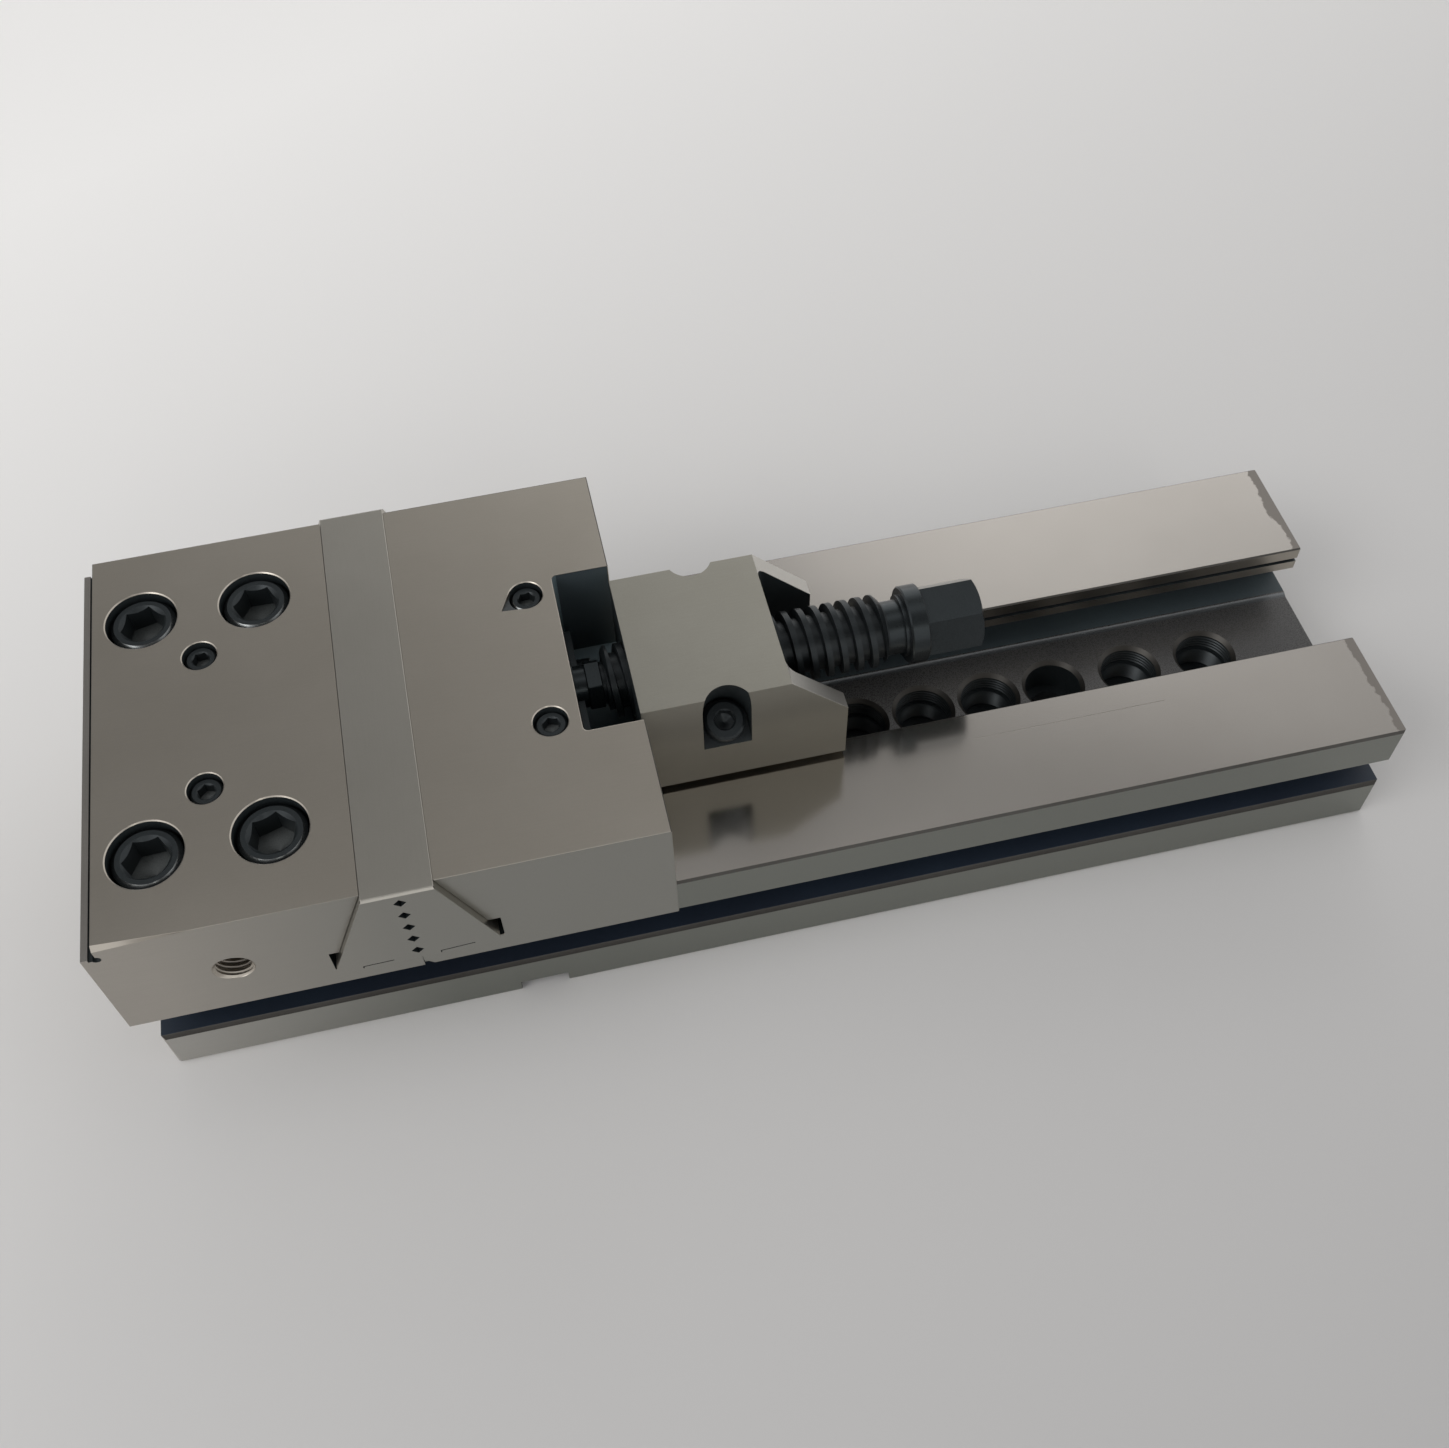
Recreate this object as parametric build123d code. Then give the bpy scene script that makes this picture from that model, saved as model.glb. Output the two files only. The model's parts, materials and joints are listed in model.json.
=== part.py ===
from build123d import *
from math import cos, radians, sin, tan
import os

os.makedirs("parts", exist_ok=True)

# Sizes in millimetres. x runs along the bed from its fixed end, y across it and z up from its
# underside. Everything is drawn there and moved to the middle of the bed when it is written out.

# fits
slide_gap = 0.05
bore_gap = 0.05
seat_gap = 0.02
foot_floor_gap = 0.7

# bed
bed_length = 420.0
bed_width = 125.0
bed_height = 50.0
edge_break = 1.0
mouth_break = 0.5
channel_half = 21.0
channel_depth = 23.7
floor_z = bed_height - channel_depth
lip_thickness = 10.5
undercut_top = bed_height - lip_thickness
undercut_depth = 10.0
undercut_half = channel_half + undercut_depth
strip_inset = 0.7
strip_half = channel_half - strip_inset
strip_depth = 0.8
strip_z = floor_z - strip_depth
wiper_groove_down = 5.2
wiper_groove_width = 1.6
wiper_groove_depth = 0.8
wiper_groove_high = bed_height - wiper_groove_down
wiper_groove_low = wiper_groove_high - wiper_groove_width
side_groove_low = 19.5
side_groove_width = 14.0
side_groove_high = side_groove_low + side_groove_width
side_groove_depth = 12.0
flange_chamfer = 1.75
key_slot_x = 123.0
key_slot_width = 16.0
key_slot_depth = 5.5
key_slot_chamfer = 0.5

# jaws
parting_x = 89.5
jaw_width = 145.0
jaw_height = 48.0
jaw_base = bed_height
jaw_top = jaw_base + jaw_height
plate_overhang = 2.5
plate_width = jaw_width + 2 * plate_overhang
plate_top_thickness = 10.4
plate_end_chamfer = 0.8
flank_angle = 22.0
ledge_height = 10.0
ledge_z = jaw_base + ledge_height
relief_step = 1.3
relief_width = 10.3
relief_low = ledge_z - relief_step
relief_high = relief_low + relief_width
relief_back = 25.8
toe_height = 3.0
toe_z = ledge_z + toe_height
toe_chamfer = 1.5
groove_depth = 1.9
groove_down = 4.6
groove_top_z = jaw_top - groove_down
groove_pitch = 7.15
groove_count = 5
stop_step_width = 4.4
stop_step_depth = 5.4
stop_step_z = jaw_top - stop_step_depth
stop_relief_radius = 1.3
stop_relief_down = 0.5
foot_chamfer = 3.0

# fixed jaw screws
large_first_x = 19.85
large_pitch = 36.0
large_x = (large_first_x, large_first_x + large_pitch)
large_edge = 18.0
large_y = bed_width / 2 - large_edge
large_radius = 7.0
large_hole_gap = 0.4
large_hole_radius = large_radius + large_hole_gap
large_head_radius = 10.4
large_head_height = 14.0
large_bore_gap = 1.0
large_bore_radius = large_head_radius + large_bore_gap
large_sink = 1.6
large_seat_z = jaw_top - large_sink - large_head_height
large_grip = 12.6
large_tip_z = bed_height - large_grip
large_tap_depth = 15.0
large_tap_z = bed_height - large_tap_depth
large_socket = 12.0
rim_chamfer = 0.7

# lock screws and the pins they hold
lock_back = 51.85
lock_y = 25.5
lock_radius = 3.0
lock_length = 8.0
lock_head_radius = 4.9
lock_head_height = 6.0
lock_bore_gap = 0.6
lock_bore_radius = lock_head_radius + lock_bore_gap
lock_sink = 1.8
lock_seat_z = jaw_top - lock_sink - lock_head_height
lock_tip_z = lock_seat_z - lock_length
lock_socket = 5.0
draw_pin_radius = 5.0
draw_pin_down = 18.0
draw_pin_z = jaw_top - draw_pin_down
draw_pin_front = 5.5
draw_pin_back = 57.0
draw_pin_end_gap = 0.5
draw_pin_chamfer = 0.6
lock_tip_gap = 0.3

# side hole in the fixed jaw
side_hole_x = 37.0
side_hole_height = 22.0
side_hole_z = jaw_base + side_hole_height
side_hole_radius = 6.0
side_hole_depth = 18.0

# key under the fixed jaw
jaw_key_start = 12.0
jaw_key_length = 54.0
jaw_key_x = (jaw_key_start, jaw_key_start + jaw_key_length)
jaw_key_drop = 8.5
jaw_key_low = jaw_base - jaw_key_drop
jaw_key_rise = 5.0
jaw_key_high = jaw_base + jaw_key_rise
jaw_key_screw_inset = 14.0
jaw_key_screw_x = (jaw_key_x[0] + jaw_key_screw_inset, jaw_key_x[1] - jaw_key_screw_inset)
jaw_key_seat_depth = 6.5
jaw_key_seat_z = jaw_key_low + jaw_key_seat_depth
jaw_key_screw_radius = 3.0
jaw_key_screw_length = 16.0
jaw_key_tip_z = jaw_key_seat_z + jaw_key_screw_length
jaw_key_head_radius = 5.0
jaw_key_head_height = 6.0
jaw_key_head_gap = 0.4
jaw_key_socket = 5.0

# nut block, across
nut_half = 27.3

# movable jaw, measured back from the parting face
movable_length = 79.8
movable_end = parting_x + movable_length
rear_slot_length = 18.0
rear_slot_x = movable_end - rear_slot_length
rear_slot_side_gap = 4.2
rear_slot_half = nut_half + rear_slot_side_gap
rear_slot_height = 8.0
rear_slot_floor = jaw_base + rear_slot_height
rear_slot_radius = 1.5
shoe_start = 10.5
shoe_length = 58.0
shoe_x = (parting_x + shoe_start, parting_x + shoe_start + shoe_length)
shoe_low = floor_z + foot_floor_gap
shoe_rise = 4.0
shoe_high = jaw_base + shoe_rise
shoe_corner = 2.0
shoe_neck_step = 2.0
shoe_screw_start = 22.0
shoe_screw_pitch = 16.0
shoe_screw_x = (shoe_x[0] + shoe_screw_start, shoe_x[0] + shoe_screw_start + shoe_screw_pitch)
shoe_screw_y = 12.0
shoe_screw_radius = 4.0
shoe_screw_length = 27.0
shoe_head_radius = 6.5
shoe_head_height = 8.0
shoe_head_gap = 0.5
shoe_seat_depth = 10.0
shoe_seat_z = shoe_low + shoe_seat_depth
shoe_tip_z = shoe_seat_z + shoe_screw_length
shoe_socket = 6.0
tap_spare = 1.0

# spindle, measured along its axis from the front wall of the jaw's rear slot
axis_height = 28.0
axis_z = jaw_base + axis_height
thread_radius = 12.0
root_radius = 9.0
ball_radius = root_radius
ball_depth = 18.3
ball_x = rear_slot_x - ball_depth
nose_x = ball_x + slide_gap
neck_length = 2.15
neck_x = (rear_slot_x - slide_gap, rear_slot_x - slide_gap + neck_length)
neck_radius = 7.0
front_collar_length = 4.9
front_collar_end = neck_x[1] + front_collar_length
front_collar_radius = 11.5
thread_start = 1.7
thread_length = 94.0
thread_x = (front_collar_end + thread_start, front_collar_end + thread_start + thread_length)
thread_chamfer = 2.0
tail_length = 7.8
collar_length = 6.2
collar_x = (thread_x[1] + tail_length, thread_x[1] + tail_length + collar_length)
collar_radius = 13.0
collar_chamfer = 0.5
hex_flats = 22.0
hex_length = 18.5
hex_end = collar_x[1] + hex_length
hex_turn = 12.0
retainer_half = 24.0
retainer_rise = 2.0
retainer_high = axis_z + retainer_rise
retainer_corner = 2.0
retainer_screw_y = 16.0
retainer_screw_down = 13.0
retainer_screw_z = axis_z - retainer_screw_down
retainer_screw_radius = 2.5
retainer_screw_depth = 7.8
retainer_tip_x = rear_slot_x - retainer_screw_depth
retainer_head_radius = 4.25
retainer_head_height = 5.0
retainer_socket = 4.0

# nut block, behind the movable jaw
nut_gap = 0.2
nut_length = 65.7
nut_x = (movable_end + nut_gap, movable_end + nut_gap + nut_length)
nut_lift = 2.3
nut_low = bed_height + nut_lift
nut_height = 43.0
nut_top = nut_low + nut_height
nut_corner = 0.6
nut_slot_length = 18.7
nut_slot_x = nut_x[1] - nut_slot_length
nut_slot_half = 20.0
nut_slot_radius = 3.0
pocket_back = 26.15
pocket_x = nut_x[0] + pocket_back
pocket_tilt = 25.0
clamp_edge = 4.1
clamp_head_y = nut_half - clamp_edge
clamp_down = 17.8
clamp_head_z = nut_top - clamp_down
clamp_head_height = 6.0
clamp_head_radius = 6.5
pocket_gap = 1.35
pocket_radius = clamp_head_radius + pocket_gap
clamp_radius = 4.0
clamp_hole_gap = 0.5
clamp_hole_radius = clamp_radius + clamp_hole_gap
clamp_length = 26.5
clamp_socket = 6.0

# foot of the nut block and its pin
foot_start = 8.5
foot_length = 50.0
foot_x = (nut_x[0] + foot_start, nut_x[0] + foot_start + foot_length)
foot_neck_length = 36.0
neck_end_x = foot_x[0] + foot_neck_length
foot_low = floor_z + foot_floor_gap
pin_back = 25.5
pin_x = nut_x[0] + pin_back
pin_floor_gap = 1.0
pin_length = 15.2
pin_low = floor_z + pin_floor_gap
pin_high = pin_low + pin_length
pin_pocket_gap = 0.2
pin_pocket_z = pin_high + pin_pocket_gap
pin_drop = 8.0
guide_height = 3.2
guide_z = pin_low + guide_height
guide_radius = 2.0
guide_depth = 1.5
guide_side_gap = 0.1
guide_end_gap = 0.2
guide_inset = 3.0
guide_socket = 2.0
guide_key_depth = 2.5

# round holes in the channel floor, the first one under the pin
hole_radius = 10.0
hole_mouth = 1.4
hole_mouth_radius = hole_radius + hole_mouth
pin_radius = hole_radius - bore_gap
hole_wide_pitch = 29.0
hole_close_pitch = 24.45
hole_close_count = 4
hole_last_count = 2
hole_depth = 8.0
hole_step_z = strip_z - hole_depth
hole_step_radius = 8.0
hole_step_depth = 7.5
hole_second_step_z = hole_step_z - hole_step_depth
drain_radius = 5.5
anchor_depth = 13.5
anchor_seat_z = strip_z - anchor_depth
anchor_radius = 6.75
hole_x = [pin_x, pin_x + hole_wide_pitch]
for step in range(hole_close_count):
    hole_x.append(hole_x[-1] + hole_close_pitch)
anchor_x = hole_x[-1]
for step in range(hole_last_count):
    hole_x.append(hole_x[-1] + hole_wide_pitch)


def block(x0, x1, y0, y1, z0, z1):
    middle = Pos((x0 + x1) / 2, (y0 + y1) / 2, (z0 + z1) / 2)
    return middle * Box(x1 - x0, y1 - y0, z1 - z0)


def wide_block(x0, x1, half, z0, z1):
    return block(x0, x1, -half, half, z0, z1)


def rod_x(x0, x1, y, z, radius):
    return Pos((x0 + x1) / 2, y, z) * Rot(0, 90, 0) * Cylinder(radius, x1 - x0)


def rod_y(x, y0, y1, z, radius):
    return Pos(x, (y0 + y1) / 2, z) * Rot(90, 0, 0) * Cylinder(radius, y1 - y0)


def rod_z(x, y, z0, z1, radius):
    return Pos(x, y, (z0 + z1) / 2) * Cylinder(radius, z1 - z0)


def cone_z(x, y, z0, z1, low_radius, high_radius):
    return Pos(x, y, (z0 + z1) / 2) * Cone(low_radius, high_radius, z1 - z0)


def profile_along_y(points, half):
    outline = Polyline(*[(x, -half, z) for x, z in points], close=True)
    return extrude(make_face(outline), amount=2 * half, dir=(0, 1, 0))


def profile_along_x(points, x0, x1):
    outline = Polyline(*[(x0, y, z) for y, z in points], close=True)
    return extrude(make_face(outline), amount=x1 - x0, dir=(1, 0, 0))


def mouth_chamfer(x, y, z, radius, size):
    """Cone that breaks the rim of a hole whose mouth is at height z."""
    return cone_z(x, y, z - size, z + size, radius, radius + 2 * size)


def socket_screw(radius, length, head_radius, head_height, socket):
    """Cap screw along z with its head seat at 0, its head above and its shank below."""
    head = Pos(0, 0, head_height / 2) * Cylinder(head_radius, head_height)
    head = chamfer(head.edges().group_by(Axis.Z)[-1], 0.08 * head_radius)
    shank = Pos(0, 0, -length / 2) * Cylinder(radius, length)
    shank = chamfer(shank.edges().group_by(Axis.Z)[0], 0.15 * radius)
    key_depth = 0.55 * head_height
    key = extrude(RegularPolygon(socket / 2, 6, major_radius=False), amount=key_depth)
    return head + shank - Pos(0, 0, head_height - key_depth) * key


def make_bed():
    half = bed_width / 2
    groove_wall = half - side_groove_depth
    right = [
        (strip_half, floor_z - strip_depth),
        (strip_half + strip_depth, floor_z),
        (undercut_half, floor_z),
        (undercut_half, undercut_top),
        (channel_half, undercut_top),
        (channel_half, wiper_groove_low),
        (channel_half + wiper_groove_depth, wiper_groove_low),
        (channel_half + wiper_groove_depth, wiper_groove_high),
        (channel_half, wiper_groove_high),
        (channel_half, bed_height - mouth_break),
        (channel_half + mouth_break, bed_height),
        (half - edge_break, bed_height),
        (half, bed_height - edge_break),
        (half, side_groove_high),
        (groove_wall, side_groove_high),
        (groove_wall, side_groove_low),
        (half - flange_chamfer, side_groove_low),
        (half, side_groove_low - flange_chamfer),
        (half, edge_break),
        (half - edge_break, 0.0),
    ]
    left = [(-y, z) for y, z in reversed(right)]
    rail = profile_along_x(right + left, 0.0, bed_length)
    blank = wide_block(0.0, bed_length, half, 0.0, bed_height)
    blank = chamfer(blank.edges().filter_by(Axis.Z), edge_break)
    bed = rail & blank

    slot_half = key_slot_width / 2
    mouth_half = slot_half + key_slot_chamfer
    key_slot = profile_along_y(
        [
            (key_slot_x - mouth_half, -1.0),
            (key_slot_x - mouth_half, 0.0),
            (key_slot_x - slot_half, key_slot_chamfer),
            (key_slot_x - slot_half, key_slot_depth),
            (key_slot_x + slot_half, key_slot_depth),
            (key_slot_x + slot_half, key_slot_chamfer),
            (key_slot_x + mouth_half, 0.0),
            (key_slot_x + mouth_half, -1.0),
        ],
        bed_width,
    )
    bed -= key_slot

    for x in hole_x:
        bed -= cone_z(x, 0, strip_z - hole_mouth, strip_z, hole_radius, hole_mouth_radius)
        if x == anchor_x:
            bed -= rod_z(x, 0, anchor_seat_z, strip_z, hole_radius)
            bed -= rod_z(x, 0, -1.0, strip_z, anchor_radius)
        else:
            bed -= rod_z(x, 0, hole_step_z, strip_z, hole_radius)
            bed -= rod_z(x, 0, hole_second_step_z, strip_z, hole_step_radius)
            bed -= rod_z(x, 0, -1.0, strip_z, drain_radius)

    for x in large_x:
        for y in (-large_y, large_y):
            bed -= rod_z(x, y, large_tap_z, bed_height + 1, large_radius + bore_gap)
    return bed


def seat_cut():
    """Space for the fixed jaw's plate: ledge, relief behind its toe and sloping flank."""
    relief_x = parting_x - relief_back
    flank_top_x = parting_x - plate_top_thickness - seat_gap
    flank_low_x = flank_top_x - (jaw_top - relief_high) * tan(radians(flank_angle))
    beyond = parting_x + 5.0
    return profile_along_y(
        [
            (beyond, ledge_z),
            (flank_low_x, ledge_z),
            (flank_low_x, relief_low),
            (relief_x, relief_low),
            (relief_x, relief_high),
            (flank_low_x, relief_high),
            (flank_top_x, jaw_top),
            (flank_top_x, jaw_top + 5.0),
            (beyond, jaw_top + 5.0),
        ],
        jaw_width,
    )


def flip(shape):
    """The same shape on the other side of the parting face."""
    return mirror(shape, about=Plane.YZ.offset(parting_x))


def make_plate():
    """Clamping plate of the fixed jaw, with crossways V grooves in its clamping face."""
    back = parting_x - plate_top_thickness
    toe_x = back - (jaw_top - toe_z) * tan(radians(flank_angle))
    low = ledge_z + seat_gap
    plate = profile_along_y(
        [
            (parting_x, low),
            (toe_x + toe_chamfer, low),
            (toe_x, low + toe_chamfer),
            (toe_x, toe_z),
            (back, jaw_top),
            (parting_x, jaw_top),
        ],
        plate_width / 2,
    )
    ends = plate.faces().filter_by(Axis.Y)
    top_ends = [e for f in ends for e in f.edges() if e.center().Z > jaw_top - 0.01]
    plate = chamfer(top_ends, plate_end_chamfer)
    for row in range(groove_count):
        z = groove_top_z - row * groove_pitch
        plate -= profile_along_y(
            [
                (parting_x - groove_depth, z),
                (parting_x + 1.0, z + groove_depth + 1.0),
                (parting_x + 1.0, z - groove_depth - 1.0),
            ],
            plate_width,
        )
    front = parting_x - draw_pin_front + draw_pin_end_gap
    for y in (-lock_y, lock_y):
        plate -= rod_x(0.0, front, y, draw_pin_z, draw_pin_radius + bore_gap)
    return plate


def lock_bores():
    """Bores in the fixed jaw for two draw pins and the screws that lock them."""
    x = parting_x - lock_back
    bore_end = parting_x - draw_pin_back - draw_pin_end_gap
    cut = None
    for y in (-lock_y, lock_y):
        tools = [
            rod_x(bore_end, parting_x, y, draw_pin_z, draw_pin_radius + bore_gap),
            rod_z(x, y, draw_pin_z, jaw_top + 1.0, lock_radius + bore_gap),
            rod_z(x, y, lock_seat_z, jaw_top + 1.0, lock_bore_radius),
            mouth_chamfer(x, y, jaw_top, lock_bore_radius, rim_chamfer),
        ]
        for tool in tools:
            cut = tool if cut is None else cut + tool
    return cut


def make_draw_pins():
    x = parting_x - lock_back
    pins = []
    for y in (-lock_y, lock_y):
        pin = rod_x(parting_x - draw_pin_back, parting_x - draw_pin_front, y, draw_pin_z,
                    draw_pin_radius)
        pin = chamfer(pin.edges().filter_by(GeomType.CIRCLE), draw_pin_chamfer)
        pin -= rod_z(x, y, lock_tip_z - lock_tip_gap, lock_seat_z, lock_radius + bore_gap)
        pins.append(pin)
    return Compound(children=pins)


def make_lock_screws():
    screw = socket_screw(lock_radius, lock_seat_z - lock_tip_z, lock_head_radius,
                         lock_head_height, lock_socket)
    x = parting_x - lock_back
    return Compound(children=[Pos(x, y, lock_seat_z) * screw for y in (-lock_y, lock_y)])


def jaw_blank(x0, x1):
    blank = wide_block(x0, x1, jaw_width / 2, jaw_base, jaw_top)
    edges = blank.edges().filter_by(Axis.Z) + blank.edges().group_by(Axis.Z)[-1]
    return chamfer(edges, edge_break)


def make_fixed_jaw():
    jaw = jaw_blank(0.0, parting_x) - seat_cut() - lock_bores()
    jaw -= wide_block(-1.0, stop_step_width, jaw_width, stop_step_z, jaw_top + 1)
    relief_z = stop_step_z - stop_relief_down
    jaw -= rod_y(stop_step_width, -jaw_width, jaw_width, relief_z, stop_relief_radius)
    for x in large_x:
        for y in (-large_y, large_y):
            jaw -= rod_z(x, y, jaw_base - 1, jaw_top, large_hole_radius)
            jaw -= rod_z(x, y, large_seat_z, jaw_top + 1, large_bore_radius)
            jaw -= mouth_chamfer(x, y, jaw_top, large_bore_radius, rim_chamfer)
    side = jaw_width / 2
    for y0, y1 in ((-side - 1, side_hole_depth - side), (side - side_hole_depth, side + 1)):
        jaw -= rod_y(side_hole_x, y0, y1, side_hole_z, side_hole_radius)
    jaw -= wide_block(jaw_key_x[0], jaw_key_x[1], channel_half - seat_gap,
                      jaw_base - 1, jaw_key_high + seat_gap)
    for x in jaw_key_screw_x:
        jaw -= rod_z(x, 0, jaw_base, jaw_key_tip_z + tap_spare, jaw_key_screw_radius + bore_gap)
    return jaw


def make_fixed_key():
    key = wide_block(jaw_key_x[0] + seat_gap, jaw_key_x[1] - seat_gap,
                     channel_half - 2 * seat_gap, jaw_key_low, jaw_key_high)
    key = chamfer(key.edges().group_by(Axis.Z)[0], edge_break)
    for x in jaw_key_screw_x:
        key -= rod_z(x, 0, jaw_key_low - 1, jaw_key_high + 1, jaw_key_screw_radius + bore_gap)
        key -= rod_z(x, 0, jaw_key_low - 1, jaw_key_seat_z,
                     jaw_key_head_radius + jaw_key_head_gap)
    return key


def make_fixed_key_screws():
    screw = socket_screw(jaw_key_screw_radius, jaw_key_tip_z - jaw_key_seat_z,
                         jaw_key_head_radius, jaw_key_head_height, jaw_key_socket)
    screw = Rot(180, 0, 0) * screw
    return Compound(children=[Pos(x, 0, jaw_key_seat_z) * screw for x in jaw_key_screw_x])


def make_fixed_jaw_screws():
    screw = socket_screw(large_radius, large_seat_z - large_tip_z, large_head_radius,
                         large_head_height, large_socket)
    places = [(x, y) for x in large_x for y in (-large_y, large_y)]
    return Compound(children=[Pos(x, y, large_seat_z) * screw for x, y in places])


def make_movable_jaw():
    jaw = jaw_blank(parting_x, movable_end) - flip(seat_cut()) - flip(lock_bores())
    jaw -= wide_block(0.0, bed_length, bed_width, jaw_base - 1, jaw_base + slide_gap)
    jaw -= profile_along_y(
        [
            (parting_x - 1, jaw_base - 1),
            (parting_x - 1, jaw_base + foot_chamfer + 1),
            (parting_x + foot_chamfer + 1, jaw_base - 1),
        ],
        jaw_width,
    )
    slot = wide_block(rear_slot_x, movable_end + 10, rear_slot_half, rear_slot_floor,
                      jaw_top + 1)
    inner = [e for e in slot.edges().filter_by(Axis.Z) if e.center().X < rear_slot_x + 1]
    jaw -= fillet(inner, rear_slot_radius)
    jaw -= rod_x(ball_x, rear_slot_x + 1, 0, axis_z, root_radius + bore_gap)
    jaw -= Pos(ball_x, 0, axis_z) * Sphere(ball_radius + bore_gap)
    for y in (-retainer_screw_y, retainer_screw_y):
        jaw -= rod_x(retainer_tip_x - tap_spare, rear_slot_x + 1, y, retainer_screw_z,
                     retainer_screw_radius + bore_gap)
    jaw -= wide_block(shoe_x[0] - seat_gap, shoe_x[1] + seat_gap, channel_half - seat_gap,
                      jaw_base - 1, shoe_high + seat_gap)
    for x in shoe_screw_x:
        for y in (-shoe_screw_y, shoe_screw_y):
            jaw -= rod_z(x, y, jaw_base, shoe_tip_z + tap_spare, shoe_screw_radius + bore_gap)
    return jaw


def make_shoe():
    """T-shaped guide under the movable jaw: neck in the channel mouth, foot in the undercut."""
    x0, x1 = shoe_x
    shoe = wide_block(x0, x1, undercut_half - 2 * slide_gap, shoe_low, undercut_top - slide_gap)
    shoe = chamfer(shoe.edges().filter_by(Axis.Z), shoe_corner)
    shoe += wide_block(x0, x1, channel_half - slide_gap, shoe_low + shoe_neck_step, shoe_high)
    for x in shoe_screw_x:
        for y in (-shoe_screw_y, shoe_screw_y):
            shoe -= rod_z(x, y, shoe_low - 1, shoe_high + 1, shoe_screw_radius + bore_gap)
            shoe -= rod_z(x, y, shoe_low - 1, shoe_seat_z, shoe_head_radius + shoe_head_gap)
    return shoe


def make_shoe_screws():
    screw = socket_screw(shoe_screw_radius, shoe_tip_z - shoe_seat_z, shoe_head_radius,
                         shoe_head_height, shoe_socket)
    screw = Rot(180, 0, 0) * screw
    places = [(x, y) for x in shoe_screw_x for y in (-shoe_screw_y, shoe_screw_y)]
    return Compound(children=[Pos(x, y, shoe_seat_z) * screw for x, y in places])


def make_retainer():
    """Forked plate on the front wall of the rear slot that holds the spindle's neck."""
    x0 = rear_slot_x
    x1 = neck_x[1] - slide_gap
    low = rear_slot_floor + seat_gap
    plate = wide_block(x0, x1, retainer_half, low, retainer_high)
    plate = chamfer(plate.edges().filter_by(Axis.X), retainer_corner)
    plate -= rod_x(x0 - 1, x1 + 1, 0, axis_z, neck_radius + bore_gap)
    plate -= wide_block(x0 - 1, x1 + 1, neck_radius + bore_gap, axis_z, retainer_high + 1)
    for y in (-retainer_screw_y, retainer_screw_y):
        plate -= rod_x(x0 - 1, x1 + 1, y, retainer_screw_z, retainer_screw_radius + bore_gap)
    return plate


def make_retainer_screws():
    seat_x = neck_x[1] - slide_gap
    screw = socket_screw(retainer_screw_radius, seat_x - retainer_tip_x,
                         retainer_head_radius, retainer_head_height, retainer_socket)
    screw = Rot(0, 90, 0) * screw
    ys = (-retainer_screw_y, retainer_screw_y)
    return Compound(children=[Pos(seat_x, y, retainer_screw_z) * screw for y in ys])


def make_thrust_segment():
    """Half ball between the spindle's nose and its round seat in the jaw."""
    ball = Pos(ball_x, 0, axis_z) * Sphere(ball_radius)
    keep = block(ball_x - 2 * ball_radius, ball_x, -ball_radius, ball_radius,
                 axis_z - ball_radius, axis_z + ball_radius)
    return ball & keep


def make_spindle():
    body = rod_x(nose_x, thread_x[0] + 1, 0, axis_z, root_radius)
    body += rod_x(neck_x[1], front_collar_end, 0, axis_z, front_collar_radius)
    cut = rod_x(neck_x[0], neck_x[1], 0, axis_z, root_radius + 1)
    cut -= rod_x(neck_x[0], neck_x[1], 0, axis_z, neck_radius)
    body -= cut
    threaded = rod_x(thread_x[0], thread_x[1], 0, axis_z, thread_radius)
    body += chamfer(threaded.edges().filter_by(GeomType.CIRCLE), thread_chamfer)
    body += rod_x(thread_x[1] - 1, collar_x[0] + 1, 0, axis_z, root_radius)
    collar = rod_x(collar_x[0], collar_x[1], 0, axis_z, collar_radius)
    collar = chamfer(collar.edges().filter_by(GeomType.CIRCLE), collar_chamfer)
    body += collar
    head_plane = Plane(origin=(collar_x[1] - 1, 0, axis_z), x_dir=(0, 1, 0), z_dir=(1, 0, 0))
    outline = RegularPolygon(hex_flats / 2, 6, major_radius=False, rotation=hex_turn)
    length = hex_end - collar_x[1] + 1
    head = extrude(head_plane * outline, amount=length)
    corner = hex_flats / 2 / cos(radians(30))
    turned = rod_x(collar_x[1] - 1, hex_end, 0, axis_z, corner)
    rim = turned.edges().filter_by(GeomType.CIRCLE).sort_by(Axis.X)[-1]
    head &= chamfer(rim, 1.0, 1.8)
    return body + head


def screw_axis(side):
    """Frame of a nut block side screw, its z pointing up and outward along the shank."""
    tilt = radians(pocket_tilt)
    return Plane(
        origin=(pocket_x, side * clamp_head_y, clamp_head_z),
        x_dir=(1, 0, 0),
        z_dir=(0, side * sin(tilt), cos(tilt)),
    )


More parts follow.
